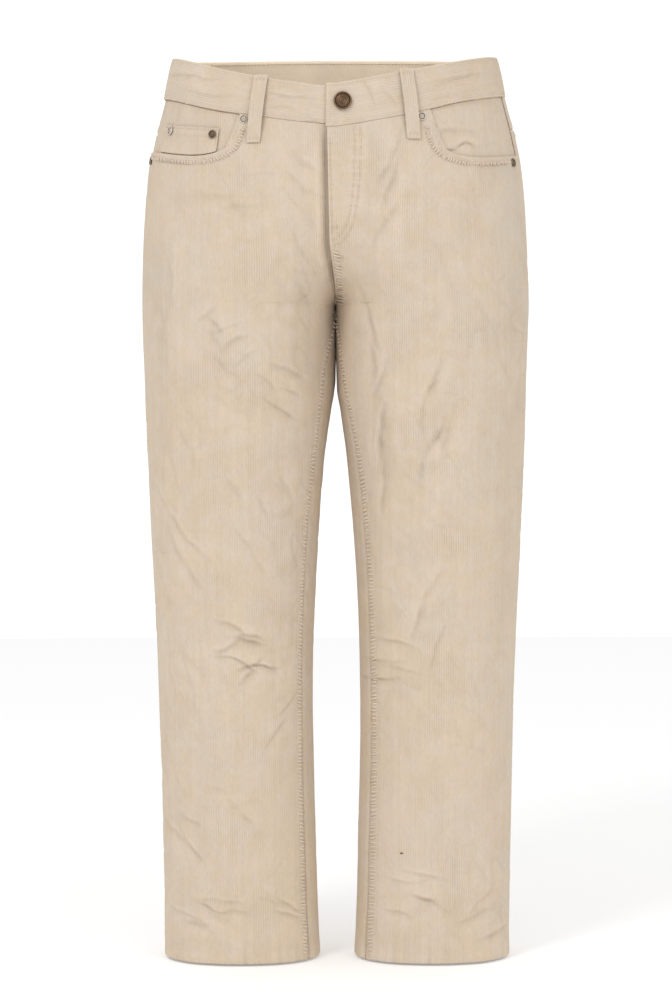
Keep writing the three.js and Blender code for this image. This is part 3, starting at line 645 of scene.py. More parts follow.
def shell(name, outer, inner, uv, materials, shade=None, step=1):
    """A closed wall between two grids of points. The inner side keeps only every so many rows and columns."""
    rows, columns = outer.shape[:2]
    at = np.arange(rows * columns).reshape(rows, columns)
    keep_rows, keep_columns = picked(rows, step), picked(columns, step)
    chosen = np.ix_(keep_rows, keep_columns)
    inner_at = np.arange(len(keep_rows) * len(keep_columns)).reshape(len(keep_rows), -1) + rows * columns
    row_of = np.searchsorted(keep_rows, np.arange(rows), side="right") - 1
    column_of = np.searchsorted(keep_columns, np.arange(columns), side="right") - 1
    below = inner_at[row_of][:, column_of]
    ring, under = ring_of(at), ring_of(below)
    after, under_after = np.roll(ring, -1), np.roll(under, -1)
    faces = [quads_of(at), quads_of(inner_at)[:, ::-1]]
    rim = [(a, b, d, c) if c != d else (a, b, c) for a, b, c, d in zip(ring, after, under, under_after)]
    points = np.concatenate([outer.reshape(-1, 3), inner[chosen].reshape(-1, 3)])
    a, b, c, d = (points[faces[0][:, k]] for k in range(4))
    middle = (a + b + c + d) / 4
    wall = points[below[:-1, :-1].reshape(-1)] - middle
    turned = np.sum(np.cross(c - a, d - b) * wall) > 0
    slots = np.repeat([0, 1, 0], [len(faces[0]), len(faces[1]), len(rim)])
    if turned:
        faces, rim = [f[:, ::-1] for f in faces], [f[::-1] for f in rim]
    every = [*faces[0].tolist(), *faces[1].tolist(), *(list(map(int, f)) for f in rim)]
    uv = np.concatenate([uv.reshape(-1, 2), uv[chosen].reshape(-1, 2)])
    if shade is not None:
        shade = np.concatenate([shade.reshape(-1), shade[chosen].reshape(-1)])
    return mesh_object(name, points, every, materials, uv, slots, shade)


def wall_of(name, at, thick, roll, uv, materials, sink=0, step=1, painted_shading=0):
    """A shell on a cloth with rounded edges, with painted shade in its creases and a painted highlight on
    their ridges.
    """
    pull = thick / 2 * roll
    outer = at(-sink - pull)
    low = lowest(at.height, step - 1) - at.height if step > 1 else 0
    inner = at(low - sink - thick + pull)
    # Painted shade and highlight for the colour: darker below the relief's local average, lighter above it,
    # and shifted by the given painted shading, which darkens where positive and lightens where negative.
    shade = at.height - smoothed(at.height, 5, 3) - painted_shading
    return shell(name, outer, inner, uv, materials, shade, step)


def rolled(*edges):
    """How round the cloth is at its edges, each a distance and a radius: 1 at an edge and 0 a radius away."""
    left = [np.clip(1 - distance / radius, 0, 1) for distance, radius in edges]
    return functools.reduce(np.maximum, [1 - np.sqrt(1 - part * part) for part in left])


def gathers(along):
    """The uneven ripple of cloth along a row of stitches."""
    quick = np.sin(along / 0.72 + 1.4 * np.sin(along / 19))
    slow = np.sin(along / 1.43 + 2 * np.sin(along / 31))
    return (0.6 * quick + 0.4 * slow) * (0.75 + 0.25 * np.sin(along / 43))


def ladder(along, slant=0):
    """Short sharp puckers between two rows of stitches, a few millimetres apart and uneven."""
    wave = np.sin((along + slant) * 2 * math.pi / 3.3 + 1.3 * np.sin(along / 17) + 0.8 * np.sin(along / 7))
    strong = 0.7 + 0.3 * np.sin(along / 29 + 1) + 0.25 * np.sin(along / 11)
    return strong * (np.exp(0.9 * wave) - 1.2)


def sewn(distance, along, rows=(), dip=0.9, swell=0.3, gather=0.25, reach=8, puckers=0):
    """Relief beside a seam: a dip at the seam, a swell over its allowance, and stitched rows that pull in."""
    height = swell * np.exp(-(((distance - 4.5) / 3) ** 2)) - dip * np.exp(-((distance / 1.3) ** 2))
    for row in rows:
        height = height - 0.35 * np.exp(-(((distance - row) / 0.9) ** 2))
    if puckers:
        first, last = min(rows), max(rows)
        within = ease(first - 1, first + 1, distance) * ease(last + 3, last - 0.5, distance)
        height = height + puckers * ladder(along, 0.3 * distance) * within
        step = np.where(distance < last + 0.4, 0.25, 0.25 * np.exp(-((distance - last - 0.4) / 1.2)))
        height = height + step * ease(0.5, 2, distance)
    return height + gather * gathers(along) * np.exp(-((distance / reach) ** 2))


def panel_heights(leg_step):
    """Rows below the crotch's top, closer together where the legs part and at the hem."""
    steps = 80 if leg_step < 1.5 else 44
    reach = (np.arange(steps - 1, -1, -1) / steps) ** SQUARENESS
    share = (1 - reach) ** (1 / SQUARENESS)
    parting = CROTCH_Z + CROTCH_RISE * (1 - share) ** (1 / CROTCH_CURVE)
    parting = parting[np.diff(np.floor(parting / 0.8), prepend=0) != 0]
    parting[-1] = CROTCH_Z
    top = np.linspace(CROTCH_Z + CROTCH_RISE, parting[0], 9)[:-1]
    hem_top = HEM_Z + HEM_HEIGHT
    leg = np.linspace(CROTCH_Z, hem_top + 1, round((CROTCH_Z - hem_top) / leg_step))[1:]
    hem = np.concatenate([np.linspace(hem_top, HEM_Z + EDGE[-1], 7)[:-1], HEM_Z + EDGE[::-1]])
    return np.concatenate([top, parting, leg, hem])


def beside_hem(z, along):
    """Relief of the hem: a full folded edge, and upright puckers that fade out above it."""
    height = z - HEM_Z
    puckers = noise(np.stack(np.broadcast_arrays(along, height * 0.1, 0 * height), -1), (7, 30, 30), 9)
    pulled = (0.25 * gathers(along) + 1.3 * puckers) * np.exp(-((height / 24) ** 2))
    return pulled + 0.3 * np.exp(-(((height - 5) / 6) ** 2))


def spread_shares(width, middle, first=EDGE):
    """Shares across a lane that are close together at both edges and even between them."""
    start, end = first / width, EDGE / width
    return np.concatenate([start, np.linspace(start[-1], 1 - end[-1], middle + 2)[1:-1], 1 - end[::-1]])


def panel_grid(lane, tops, start_shares, flat_heights, top_rows, first=EDGE):
    """Shares and heights of a panel's grid, from its top line down to the hem."""
    crotch_top = flat_heights[0]
    t = np.linspace(0, 1, top_rows + 1)[1:-1, None]
    upper = np.concatenate([tops - EDGE[:, None], lerp(tops - EDGE[-1], crotch_top, t)])
    z = np.concatenate([upper, np.repeat(flat_heights[:, None], len(tops), axis=1)])
    middle = len(tops) - len(first) - len(EDGE)
    widths = lane.width(upper)
    even = np.array([[spread_shares(w, middle, first)[c] for c, w in enumerate(row)] for row in widths])
    even = np.concatenate([even, [spread_shares(w, middle, first) for w in lane.width(flat_heights)]])
    return lerp(start_shares, even, ease(-78, -200, z)), z


def front_panel(side, materials):
    flat_heights = panel_heights(1.05)
    tops_z = np.arange(CROTCH_Z + CROTCH_RISE, 46, 3.0)
    grain = lambda z: angle_at(z, GRAIN_X)
    lane = Lane(side, front_start, front_end, grain, np.concatenate([flat_heights, tops_z]))

    turns = np.linspace(math.pi / 2, 0, 160)
    edge_angle, edge_z = opening_edge(side, turns)
    edge_share = lane.share(edge_angle, edge_z)
    edge_width = lane.width(edge_z[-1])
    last_turn = np.interp(1 - EDGE[-1] / edge_width, edge_share, turns)
    stops = lerp(math.pi / 2, last_turn, np.linspace(0, 1, 57)[:-1] ** 1.7)
    least = np.arange(len(stops)) * 0.35 / edge_width
    across_pocket = np.maximum.accumulate(np.interp(stops, turns[::-1], edge_share[::-1]) - least) + least
    fly = SEAM_EDGE / lane.width(-60)
    between = np.linspace(fly[-1], across_pocket[0], 46)[1:-1]
    shares = np.concatenate([fly, between, across_pocket, 1 - EDGE[::-1] / edge_width])
    tops = np.full(len(shares), -50.0)
    for _ in range(SETTLING):
        tops = waist_seam(side, lane.angle(shares, tops)) - BAND_SEAM
    corner, side_strip = len(fly) + len(between), len(shares) - len(EDGE)
    tops[corner:side_strip] = np.interp(stops, turns[::-1], edge_z[::-1])
    tops[side_strip:] = np.interp(shares[side_strip:], edge_share, edge_z)

    share, z = panel_grid(lane, tops, shares, flat_heights, 44, SEAM_EDGE)
    angle = lane.angle(share, z)
    point = plain(side, angle, z)
    width = lane.width(z)
    from_start, from_end = share * width, (1 - share) * width

    opening = plain(side, *opening_edge(side, np.linspace(0, math.pi / 2, 60)))
    from_opening, along_opening = near(point, opening, 16)
    roll = rolled((from_opening, 1), (z - HEM_Z, 1), (from_start, 1), (from_end, 0.8))
    extra = sewn(from_opening, along_opening * 125, (3.6, 8), dip=-0.45, gather=0.2, puckers=0.28)
    extra += sewn(from_end, -z, dip=0.8, swell=0.35, gather=0.12)
    legs = ease(CROTCH_Z + 6, CROTCH_Z - 6, z)
    rows = 1.4, INSEAM_WIDTH[side]
    extra += legs * sewn(from_start, -z, rows, dip=0.7, gather=0.2, reach=14, puckers=0.42)
    seat = ease(FLY_SEAM_Z + 45, FLY_END[1] - 16, z) * (1 - legs)
    extra += seat * sewn(from_start, -z, (1.4, 7), dip=0.6, gather=0.2, puckers=0.3)
    if side > 0:
        fly_part = ease(FLY_END[1] - 6, FLY_END[1] + 4, z)
        extra += fly_part * sewn(from_start, -z, rows=(2.2,), dip=-0.5, gather=0.2)
        for path in fly_rows():
            curve = plain(side, angle_at(path[:, 1], path[:, 0]), path[:, 1])
            off, along = near(point, curve, 14)
            pulled = 0.22 * gathers(along * 165) * np.exp(-((off / 5) ** 2))
            extra += pulled - 0.35 * np.exp(-((off / 1.1) ** 2))
    else:
        beyond = -point[..., 0] + fly_edge(z) - 1.5
        valley = np.exp(-((beyond / 3) ** 2)) - 0.35 * np.exp(-(((beyond - 8) / 4) ** 2))
        extra -= 2.2 * valley * ease(FLY_SEAM_Z, FLY_END[1] - 20, z) * ease(-46, -70, z)
    extra += beside_hem(z, from_start)
    at = Cloth(side, angle, z, extra)
    thick = WALL * np.where(z <= HEM_Z + HEM_HEIGHT, 2, 1)
    sink = fly_tuck(side, point)
    # Painted shade in the stitched strips beside the inseam, the seat seam and the pocket opening, between
    # their puckers.
    strip = ease(rows[1] + 1, rows[1] - 1, from_start) * legs + ease(10, 7, from_start) * seat
    painted_shading = 0.35 * strip + 0.2 * ease(9.5, 7.5, from_opening) * ease(2.5, 4, from_opening)
    inside = side * point[..., 0]
    if side < 0:
        # Painted shade in the valley beside the fly edge, and in the gap between the thighs.
        painted_shading = painted_shading + 1.9 * ease(FLY_SEAM_Z, -185, z) * ease(3.6, 0.8, np.abs(inside + fly_edge(z) - 1.2))
        painted_shading = painted_shading + 2 * ease(11, 3, inside) * ease(CROTCH_Z, -224, z) * ease(-288, -270, z)
    else:
        # Painted highlight on the rolled fly edge, and on the inner thigh beside the gap, against the shade
        # that falls there.
        painted_shading = painted_shading - 0.9 * ease(2, 1, from_start) * ease(CROTCH_Z, FLY_SEAM_Z, z)
        painted_shading = painted_shading - 0.5 * ease(26, 8, inside) * legs
    name, cut = f"front_{hand_of(side)}_cloth", lane.cut(share, z)
    return wall_of(name, at, thick, roll, cut, materials, sink, 4, painted_shading)


def fly_rows():
    """The two stitched rows that bound the fly, as x and z on the left front."""
    path = np.array([(23, -46), (23, -86), (20.5, -117), (16, -140), (8.5, -153), (-3, -160)], float)
    path = softened(path)
    turned = ease(-100, -156, path[:, 1])
    inner = path + np.stack([-5.5 + 2 * turned, 4.5 * turned], -1)
    return path, inner


def softened(path, rounds=3):
    """Cuts the corners of a path, over and over, and keeps its ends."""
    for _ in range(rounds):
        quarter, three = lerp(path[:-1], path[1:], 0.25), lerp(path[:-1], path[1:], 0.75)
        inside = np.stack([quarter, three], 1).reshape(-1, path.shape[1])
        path = np.concatenate([path[:1], inside, path[-1:]])
    return path


def back_panel(side, materials):
    flat_heights = panel_heights(1.5)
    tops_z = np.arange(CROTCH_Z + CROTCH_RISE, 46, 3.0)
    grain = lambda z: back_angle_at(z, GRAIN_X)
    lane = Lane(side, back_start, back_end, grain, np.concatenate([flat_heights, tops_z]))
    shares = spread_shares(lane.width(-70), 80)
    tops = np.full(len(shares), -60.0)
    for _ in range(SETTLING):
        tops = yoke_seam(side, lane.angle(shares, tops)) - SEAM
    share, z = panel_grid(lane, tops, shares, flat_heights, 22)
    angle = lane.angle(share, z)
    width = lane.width(z)
    from_side, from_centre, from_yoke = share * width, (1 - share) * width, tops - z
    roll = rolled((from_side, 0.8), (from_centre, 0.8), (from_yoke, 0.8), (z - HEM_Z, 1))
    extra = sewn(from_side, -z, dip=0.8, gather=0.12)
    extra += sewn(from_yoke, from_side, rows=(2.5, 7.5), dip=0.7, puckers=0.2) * ease(0, 14, from_side)
    seat = ease(CROTCH_Z - 20, CROTCH_Z + 20, z)
    centre_seam = sewn(from_centre, -z, rows=(2.5, 7.5), dip=0.7, gather=0.35, puckers=0.25)
    extra += centre_seam * lerp(0.5, 1, seat)
    extra += beside_hem(z, from_side)
    thick = WALL * np.where(z <= HEM_Z + HEM_HEIGHT, 2, 1)
    name, at = f"back_{hand_of(side)}_cloth", Cloth(side, angle, z, extra)
    return wall_of(name, at, thick, roll, lane.cut(share, z), materials, 0, 4)


def upper_lane(side, start, end, grain):
    return Lane(side, start, end, grain, np.arange(-130, 46, 3.0))


def yoke(side, materials):
    lane = upper_lane(side, back_start, back_end, lambda z: back_angle_at(z, GRAIN_X))
    share = spread_shares(lane.width(-50), 44)[None, :]
    down = lines_between(0, 1, 16, EDGE / 45)
    z = np.full((len(down), share.shape[1]), -30.0)
    for _ in range(SETTLING):
        angle = lane.angle(share, z)
        top, low = waist_seam(side, angle) - BAND_SEAM, yoke_seam(side, angle)
        z = lerp(top, low, down[:, None])
    width = lane.width(z)
    from_side, from_centre = share * width, (1 - share) * width
    roll = rolled((from_side, 0.8), (from_centre, 0.8), (top - z, 0.8), (z - low, 0.8))
    extra = sewn(from_side, -z, dip=0.7) + sewn(from_centre, -z, rows=(2.5,), dip=0.7)
    extra += sewn(z - low, from_side, rows=(), dip=0.7)
    name, at = f"yoke_{hand_of(side)}_cloth", Cloth(side, angle, z, extra)
    return wall_of(name, at, WALL, roll, lane.cut(share, z), materials)


def pocket_bearer(side, materials):
    """The cloth behind a front pocket's opening. On the left it is pinched into a small tuck."""
    low = opening_edge(side, 0.6, BEARER_MARGIN)[1]
    far = opening_edge(side, math.pi / 2, BEARER_MARGIN)[0]
    lane = upper_lane(side, lambda s, z: far, front_end, lambda z: angle_at(z, GRAIN_X))
    share = spread_shares(lane.width(-60), 50)[None, :]
    down = np.linspace(0, 1, 56)[:, None]
    z = np.full((56, share.shape[1]), -30.0)
    for _ in range(SETTLING):
        angle = lane.angle(share, z)
        z = lerp(waist_seam(side, angle) - BAND_SEAM, low, down)
    point = plain(side, angle, z)
    extra = 0.4 * noise(point, (22, 22, 22), 8)
    if side > 0:
        extra += creased(point, angle, BEARER_TUCK)
    at, roll = Cloth(side, angle, z, extra), rolled((share * lane.width(z), 0.8))
    name = f"pocket_bearer_{hand_of(side)}_cloth"
    return wall_of(name, at, WALL, roll, lane.cut(share, z), materials, WALL + LAYER)


def coin_pocket(materials):
    side = -1
    start, end = angle_at(COIN_INNER_Z, COIN_RIGHT), angle_at(COIN_OUTER_Z, COIN_LEFT)
    lane = upper_lane(side, lambda s, z: start, lambda s, z: end, lambda z: angle_at(z, 130))
    share = spread_shares(lane.width(-60), 26)[None, :]
    down = np.concatenate([EDGE / 30, np.linspace(EDGE[-1] / 30, 1, 22)[1:]])[:, None]
    turns = np.linspace(0.05, math.pi / 2, 200)
    edge_angle, edge_z = opening_edge(side, turns)
    angle = lane.angle(share, -60.0)
    top = lerp(COIN_INNER_Z, COIN_OUTER_Z, (angle - start) / (end - start))
    bottom = np.interp(angle, edge_angle[::-1], edge_z[::-1]) + 1.1
    z = lerp(top, bottom, down)
    angle = np.broadcast_to(angle, z.shape)
    width = lane.width(z)
    from_inner, from_outer, from_top = share * width, (1 - share) * width, top - z
    roll = rolled((from_inner, 0.8), (from_outer, 0.8), (from_top, 1))
    extra = sewn(from_top, from_inner, rows=(2.2, 7.5), dip=-0.3, gather=0.2, reach=5)
    extra += sewn(from_inner, -z, rows=(2,), dip=-0.2, gather=0.15, reach=4)
    at = Cloth(side, angle, z, extra)
    return wall_of("coin_pocket_cloth", at, COIN_WALL, roll, lane.cut(share, z), materials, SEAM)


def back_pocket_place(side, across, down):
    """Angle and height of a point of the back pocket, from its shares across (-1 to 1) and down (0 to 1)."""
    pocket = BACK_POCKET
    top_z = yoke_seam(side, back_angle_at(-80, pocket["x"])) - pocket["below_yoke"]
    height = pocket["height"] + pocket["point"] * (1 - np.abs(across))
    z = top_z - height * down
    width = pocket["width"] / 2 - pocket["taper"] * down
    return back_angle_at(z, pocket["x"] + across * width), z


def back_pocket(side, materials):
    half, tall = BACK_POCKET["width"] / 2, BACK_POCKET["height"]
    edge = EDGE / half
    half_across = np.concatenate([np.linspace(0, 1 - edge[-1], 22)[:-1], 1 - edge[::-1]])
    across = np.concatenate([-half_across[:0:-1], half_across])[None, :]
    down = lines_between(0, 1, 38, EDGE / tall)[:, None]
    angle, z = back_pocket_place(side, across, down)
    from_side, from_top, from_low = half * (1 - np.abs(across)), tall * down, tall * (1 - down)
    from_side, from_top, from_low = np.broadcast_arrays(from_side, from_top, from_low)
    roll = rolled((from_side, 1), (from_top, 1), (from_low, 1))
    extra = sewn(from_side, -z, rows=(2.2, 8), dip=-0.1)
    extra += sewn(from_low, half * across, rows=(2.2, 8), dip=-0.1)
    extra += sewn(from_top, half * across, rows=(14,), dip=-0.3, swell=0.4)
    uv = np.stack(np.broadcast_arrays(half * across, z), -1) / 1000
    name, at = f"back_pocket_{hand_of(side)}_cloth", Cloth(side, angle, z, extra)
    return wall_of(name, at, BACK_POCKET["wall"], roll, uv, materials, -BACK_POCKET["proud"])


def band_place(turn, down):
    """Side, angle, height and sink of a point of the waistband, from its turn round the waist and mm down."""
    side = np.where(turn <= math.pi, 1, -1)
    angle = math.pi / 2 + np.where(side > 0, turn, 2 * math.pi - turn)
    under = np.where(side < 0, ease(-UNDERLAP_STEPPED, -UNDERLAP_COVERED, turn - 2 * math.pi), 0)
    z = waist_top(side, angle) - band_height(side, angle) * down / BAND_HEIGHT
    side, angle, z, under = np.broadcast_arrays(side, angle, z, under)
    return side, angle, z, under * (BAND_WALL + LAYER)


def band_cloth(turn, down, offset):
    """Points of the waistband at an offset from its outside, and their relief."""
    side, angle, z, sink = band_place(turn, down)
    point, out = plain(side, angle, z), plain_normal(side, angle, z)
    along = turn * BAND_ARC
    extra = creased(point, angle, BAND_CREASES) + 0.35 * noise(point, (34, 34, 24), 5)
    extra += 0.5 * np.sin(math.pi * np.clip(down / BAND_HEIGHT, 0, 1)) ** 0.7
    for row in (3, BAND_HEIGHT - 3):
        extra += 0.2 * ladder(along + row) * np.exp(-(((down - row) / 3.5) ** 2))
        extra -= 0.35 * np.exp(-(((down - row) / 1) ** 2))
    return point + out * np.asarray(BAND_PROUD + offset + extra - sink)[..., None], extra


BAND_START = float(angle_at(0, FLY_TOP[0])) - math.pi / 2
BAND_END = 2 * math.pi + UNDERLAP_LENGTH / 152


def waistband(materials):
    turn = lines_between(BAND_START, BAND_END, 758, EDGE / BAND_ARC)
    turn, down = np.broadcast_arrays(turn[None, :], lines_between(0, BAND_HEIGHT, 14)[:, None])
    from_ends = (turn - BAND_START) * BAND_ARC, (BAND_END - turn) * BAND_ARC
    roll = rolled(*((distance, 1.5) for distance in (down, BAND_HEIGHT - down, *from_ends)))
    pull = BAND_WALL / 2 * roll
    (outer, height), (inner, _) = band_cloth(turn, down, -pull), band_cloth(turn, down, pull - BAND_WALL)
    uv = np.stack([down, turn * BAND_ARC], -1) / 1000
    # Painted highlight along the band's top and bottom rims, added to the painted shade and highlight of its
    # relief.
    painted_rim_highlight = 0.6 * np.exp(-((down / 1.4) ** 2)) + 0.6 * np.exp(-(((BAND_HEIGHT - down) / 1.4) ** 2))
    return shell("waistband_cloth", outer, inner, uv, materials, height - smoothed(height, 4, 4) + painted_rim_highlight)


def loop_place(name, across, down):
    """Side, angle, height and stand-off of a point of a belt loop, from mm across it and its share down."""
    face, top_x, bottom_x, bottom_z = LOOPS[name]
    side = -1 if top_x < 0 else 1
    angle_of = angle_at if face == "front" else back_angle_at
    above = LOOP_ABOVE if face == "front" else -1.4
    top_z = float(waist_top(side, angle_of(0, abs(top_x)))) + above
    z = lerp(top_z, bottom_z, down)
    x = side * lerp(top_x, bottom_x, down)
    knots, offs = np.array(LOOP_SWELL).T
    off = np.interp(down, np.linspace(0, 1, 50), softened_values(knots, offs))
    return side, angle_of(z, x + across), z, off, (top_z - bottom_z)


def softened_values(knots, values):
    """Values at 50 even places, smoothed over a few neighbours."""
    even = np.interp(np.linspace(0, 1, 50), knots, values)
    padded = np.pad(even, 2, mode="edge")
    return np.convolve(padded, np.ones(5) / 5, mode="valid")


def loop_points(name, across, down, offset):
    side, angle, z, off, tall = loop_place(name, across, down)
    point, out = plain(side, angle, z), plain_normal(side, angle, z)
    wave = 0.12 * gathers(down * tall + across * 3) - 0.25 * np.exp(-(((np.abs(across) - 3.4) / 0.8) ** 2))
    return point + out * np.asarray(off + LOOP_WALL + wave + offset)[..., None]


def belt_loop(name, materials):
    half = LOOP_WIDTH / 2
    across = np.array([-half, -half + 0.3, -half + 0.8, -4.4, -3.4, -2.4, -1.2, 0])
    across = np.concatenate([across, -across[-2::-1]])[None, :]
    across, down = np.broadcast_arrays(across, lines_between(0, 1, 42, EDGE[:5] / LOOP_TALL)[:, None])
    roll = rolled((half - np.abs(across), 0.9), (down * LOOP_TALL, 0.9), ((1 - down) * LOOP_TALL, 0.9))
    pull = LOOP_WALL / 2 * roll
    outer, inner = loop_points(name, across, down, -pull), loop_points(name, across, down, pull - LOOP_WALL)
    return shell(name + "_cloth", outer, inner, np.stack([across, down * LOOP_TALL], -1) / 1000, materials)


# ---- stitches ----


def panel_row(side, angle, z, offset=0):
    at = Cloth(side, angle, z)
    return at(offset), at.out


def band_row(turn, down, offset):
    side, angle, z, _ = band_place(turn, down)
    return band_cloth(turn, down, offset)[0], plain_normal(side, angle, z)


def lane_row(side, edge, distance, heights):
    """A row at a distance from an edge of a panel, from one height to another."""
    z = np.linspace(*heights, int(abs(heights[1] - heights[0]) / 2) + 2)
    angle = np.array([float(nudged(side, edge(side, h), h, distance)) for h in z])
    return panel_row(side, angle, z, -0.1)


def stitched(name, rows, material, stitch=2.5, gap=0.9, radius=0.28, whole=False):
    """Every stitch along the rows, in one mesh. A row is points and normals; whole makes it one stitch."""
    sides, points, faces = 5, [], []
    spin = np.arange(sides) * 2 * math.pi / sides
    for path, out in rows:
        arc = np.concatenate([[0], np.cumsum(length(np.diff(path, axis=0)))])
        stitch = arc[-1] if whole else stitch
        starts = [0] if whole else np.arange(gap, arc[-1] - stitch, stitch + gap)
        for begin in starts:
            at = begin + stitch * np.array([0, 0.22, 0.78, 1])
            middle = np.stack([np.interp(at, arc, path[:, k]) for k in range(3)], -1)
            normal = np.stack([np.interp(at, arc, out[:, k]) for k in range(3)], -1)
            way = middle[3] - middle[0]
            beside = np.cross(way / length(way), normal)
            thick = radius * np.array([0.5, 1, 1, 0.5])
            lift = radius * np.array([-0.7, 0.75, 0.75, -0.7])
            outward, sideway = (f(spin)[None, :, None] for f in (np.cos, np.sin))
            ring = outward * normal[:, None] + sideway * beside[:, None]
            tube = (middle + normal * lift[:, None])[:, None] + ring * thick[:, None, None]
            first = len(points) * 4 * sides
            points.append(tube.reshape(-1, 3))
            for j in range(3):
                for k in range(sides):
                    a, b = first + j * sides + k, first + j * sides + (k + 1) % sides
                    faces.append((a, a + sides, b + sides, b))
    return mesh_object(name, np.concatenate(points), np.array(faces), [material])


def rungs(side, place, span, pitch=3.7):
    """Short soft ridges across a seam's allowance, as rows for stitched. The place gives angle and height."""
    wander = np.random.default_rng(5 + side)
    along = np.arange(span[0], span[1], pitch)[:, None]
    along = along + wander.uniform(-0.8, 0.8, along.shape)
    low, high = wander.uniform(0, 0.14, along.shape), wander.uniform(0.8, 1, along.shape)
    angle, z = place(along, lerp(low, high, np.linspace(0, 1, 6)))
    points, out = panel_row(side, angle, z, wander.uniform(0, 0.4, along.shape))
    return list(zip(points, out))


def inseam_rungs(side):
    def place(along, across):
        z = CROTCH_Z - 4 - along + (1.6 + 1.2 * np.sin(along / 23)) * across
        return nudged(side, inseam(z), z, SEAM / 2 + lerp(1.6, INSEAM_WIDTH[side], across)), z

    return rungs(side, place, (0, CROTCH_Z - HEM_Z - 8))


def centre_rungs():
    def place(along, across):
        z = -163 - along - 2.5 * across * across
        return angle_at(z, fly_edge(z) + lerp(1, 9, across)), z

    return rungs(1, place, (0, 47), 3)


def opening_rungs(side):
    turns = np.linspace(0.05, math.pi / 2 - 0.05, 200)
    path = plain(side, *opening_edge(side, turns, 4))
    arc = np.concatenate([[0], np.cumsum(length(np.diff(path, axis=0)))])

    def place(along, across):
        turn = np.interp(along, arc, turns)
        (near_angle, near_z), (far_angle, far_z) = (opening_edge(side, turn, margin) for margin in (3.8, 8))
        return lerp(near_angle, far_angle, across), lerp(near_z, far_z, across)

    return rungs(side, place, (2, arc[-1] - 2), 2.9)


def trouser_rows(side):
    """The rows on one leg: inseam, seat, yoke, pocket opening and back pocket."""
    rows = []
    for distance in (1.4, INSEAM_WIDTH[side]):
        rows.append(lane_row(side, front_start, distance, (CROTCH_Z - 6, HEM_Z + 2)))
    for distance in (2.5, 7.5):
        z = np.linspace(-72, CROTCH_Z + 4, 90)
        if side > 0:
            centre = np.array([back_end(side, h) for h in z])
            rows.append(panel_row(side, nudged(side, centre, z, -distance), z, -0.1))
        angle = np.linspace(back_start(side, -60), back_end(side, -85), 120)
        rows.append(panel_row(side, angle, yoke_seam(side, angle) - SEAM - distance, -0.1))
    for margin in (3.6, 8):
        angle, z = opening_edge(side, np.linspace(0.06, math.pi / 2 - 0.05, 80), margin)
        rows.append(panel_row(side, angle, z, 0.1))
    for inset in (2.2, 8):
        wide = 1 - inset / (BACK_POCKET["width"] / 2)
        low = 1 - inset / BACK_POCKET["height"]
        across = np.concatenate([np.full(40, -wide), np.linspace(-wide, wide, 61), np.full(40, wide)])
        down = np.concatenate([np.linspace(0.01, low, 40), np.full(61, low), np.linspace(low, 0.01, 40)])
        rows.append(panel_row(side, *back_pocket_place(side, across, down), 2.35))
    top_hem = np.full(60, 14 / BACK_POCKET["height"])
    rows.append(panel_row(side, *back_pocket_place(side, np.linspace(-0.98, 0.98, 60), top_hem), 2.45))
    return rows


def fly_stitches():
    rows = [panel_row(1, angle_at(path[:, 1], path[:, 0]), path[:, 1]) for path in fly_rows()]
    z = np.linspace(-60, -150, 60)
    rows.append(panel_row(1, angle_at(z, fly_edge(z) + 2.2), z, 0.3))
    z = np.linspace(-160, CROTCH_Z + 4, 30)
    for distance in (1.4, 7):
        rows.append(panel_row(1, angle_at(z, fly_edge(z) + distance), z))
    return rows


def bartack(centre_x, centre_z, wide, tall, lift=0):
    """A dense zigzag: short stitches side by side, on the front."""
    rows, pitch = [], 0.75
    side = 1 if centre_x > -6 else -1
    x = np.linspace(centre_x - wide / 2, centre_x + wide / 2, 4)
    for i in range(max(int(tall / pitch), 3)):
        z = np.full(4, centre_z - tall / 2 + i * pitch)
        rows.append(panel_row(side, angle_at(z, x * side), z, lift))
    return rows


def band_stitches():
    rows = []
    for down in (3, BAND_HEIGHT - 3):
        turn = np.linspace(BAND_START + 0.02, 2 * math.pi - UNDERLAP_STEPPED, 620)
        rows.append(band_row(turn, down, -0.05))
        out, normal = band_row(turn, down, -BAND_WALL - 0.05)
        rows.append((out, -normal))
    down = np.linspace(3.5, BAND_HEIGHT - 3.5, 20)
    rows.append(band_row(np.full(20, BAND_START + 0.018), down, -0.05))
    for name in LOOPS:
        for across in (-3.4, 3.4):
            share = np.linspace(0.03, 0.97, 40)
            side, angle, z, _, _ = loop_place(name, across, share)
            rows.append((loop_points(name, across, share, -0.15), plain_normal(side, angle, z)))
        for share in (0.055, 0.07, 0.085, 0.915, 0.93, 0.945):
            across = np.linspace(-5.2, 5.2, 8)
            side, angle, z, _, _ = loop_place(name, across, np.full(8, share))
            rows.append((loop_points(name, across, np.full(8, share), 0), plain_normal(side, angle, z)))
    return rows


def coin_rows():
    start, end = angle_at(COIN_INNER_Z, COIN_RIGHT), angle_at(COIN_OUTER_Z, COIN_LEFT)
    share = np.linspace(0.02, 0.98, 40)
    angle = lerp(start, end, share)
    top = lerp(COIN_INNER_Z, COIN_OUTER_Z, share)
    rows = [panel_row(-1, angle, top - drop, -SEAM) for drop in (2.2, 7.5)]
    z = np.linspace(COIN_INNER_Z - 2, -68, 14)
    rows.append(panel_row(-1, nudged(-1, np.full(14, start), z, 2), z, -SEAM))
    z = np.linspace(COIN_OUTER_Z - 2, -72, 16)
    rows.append(panel_row(-1, nudged(-1, np.full(16, end), z, -2), z, -SEAM))
    return rows


# ---- metal ----


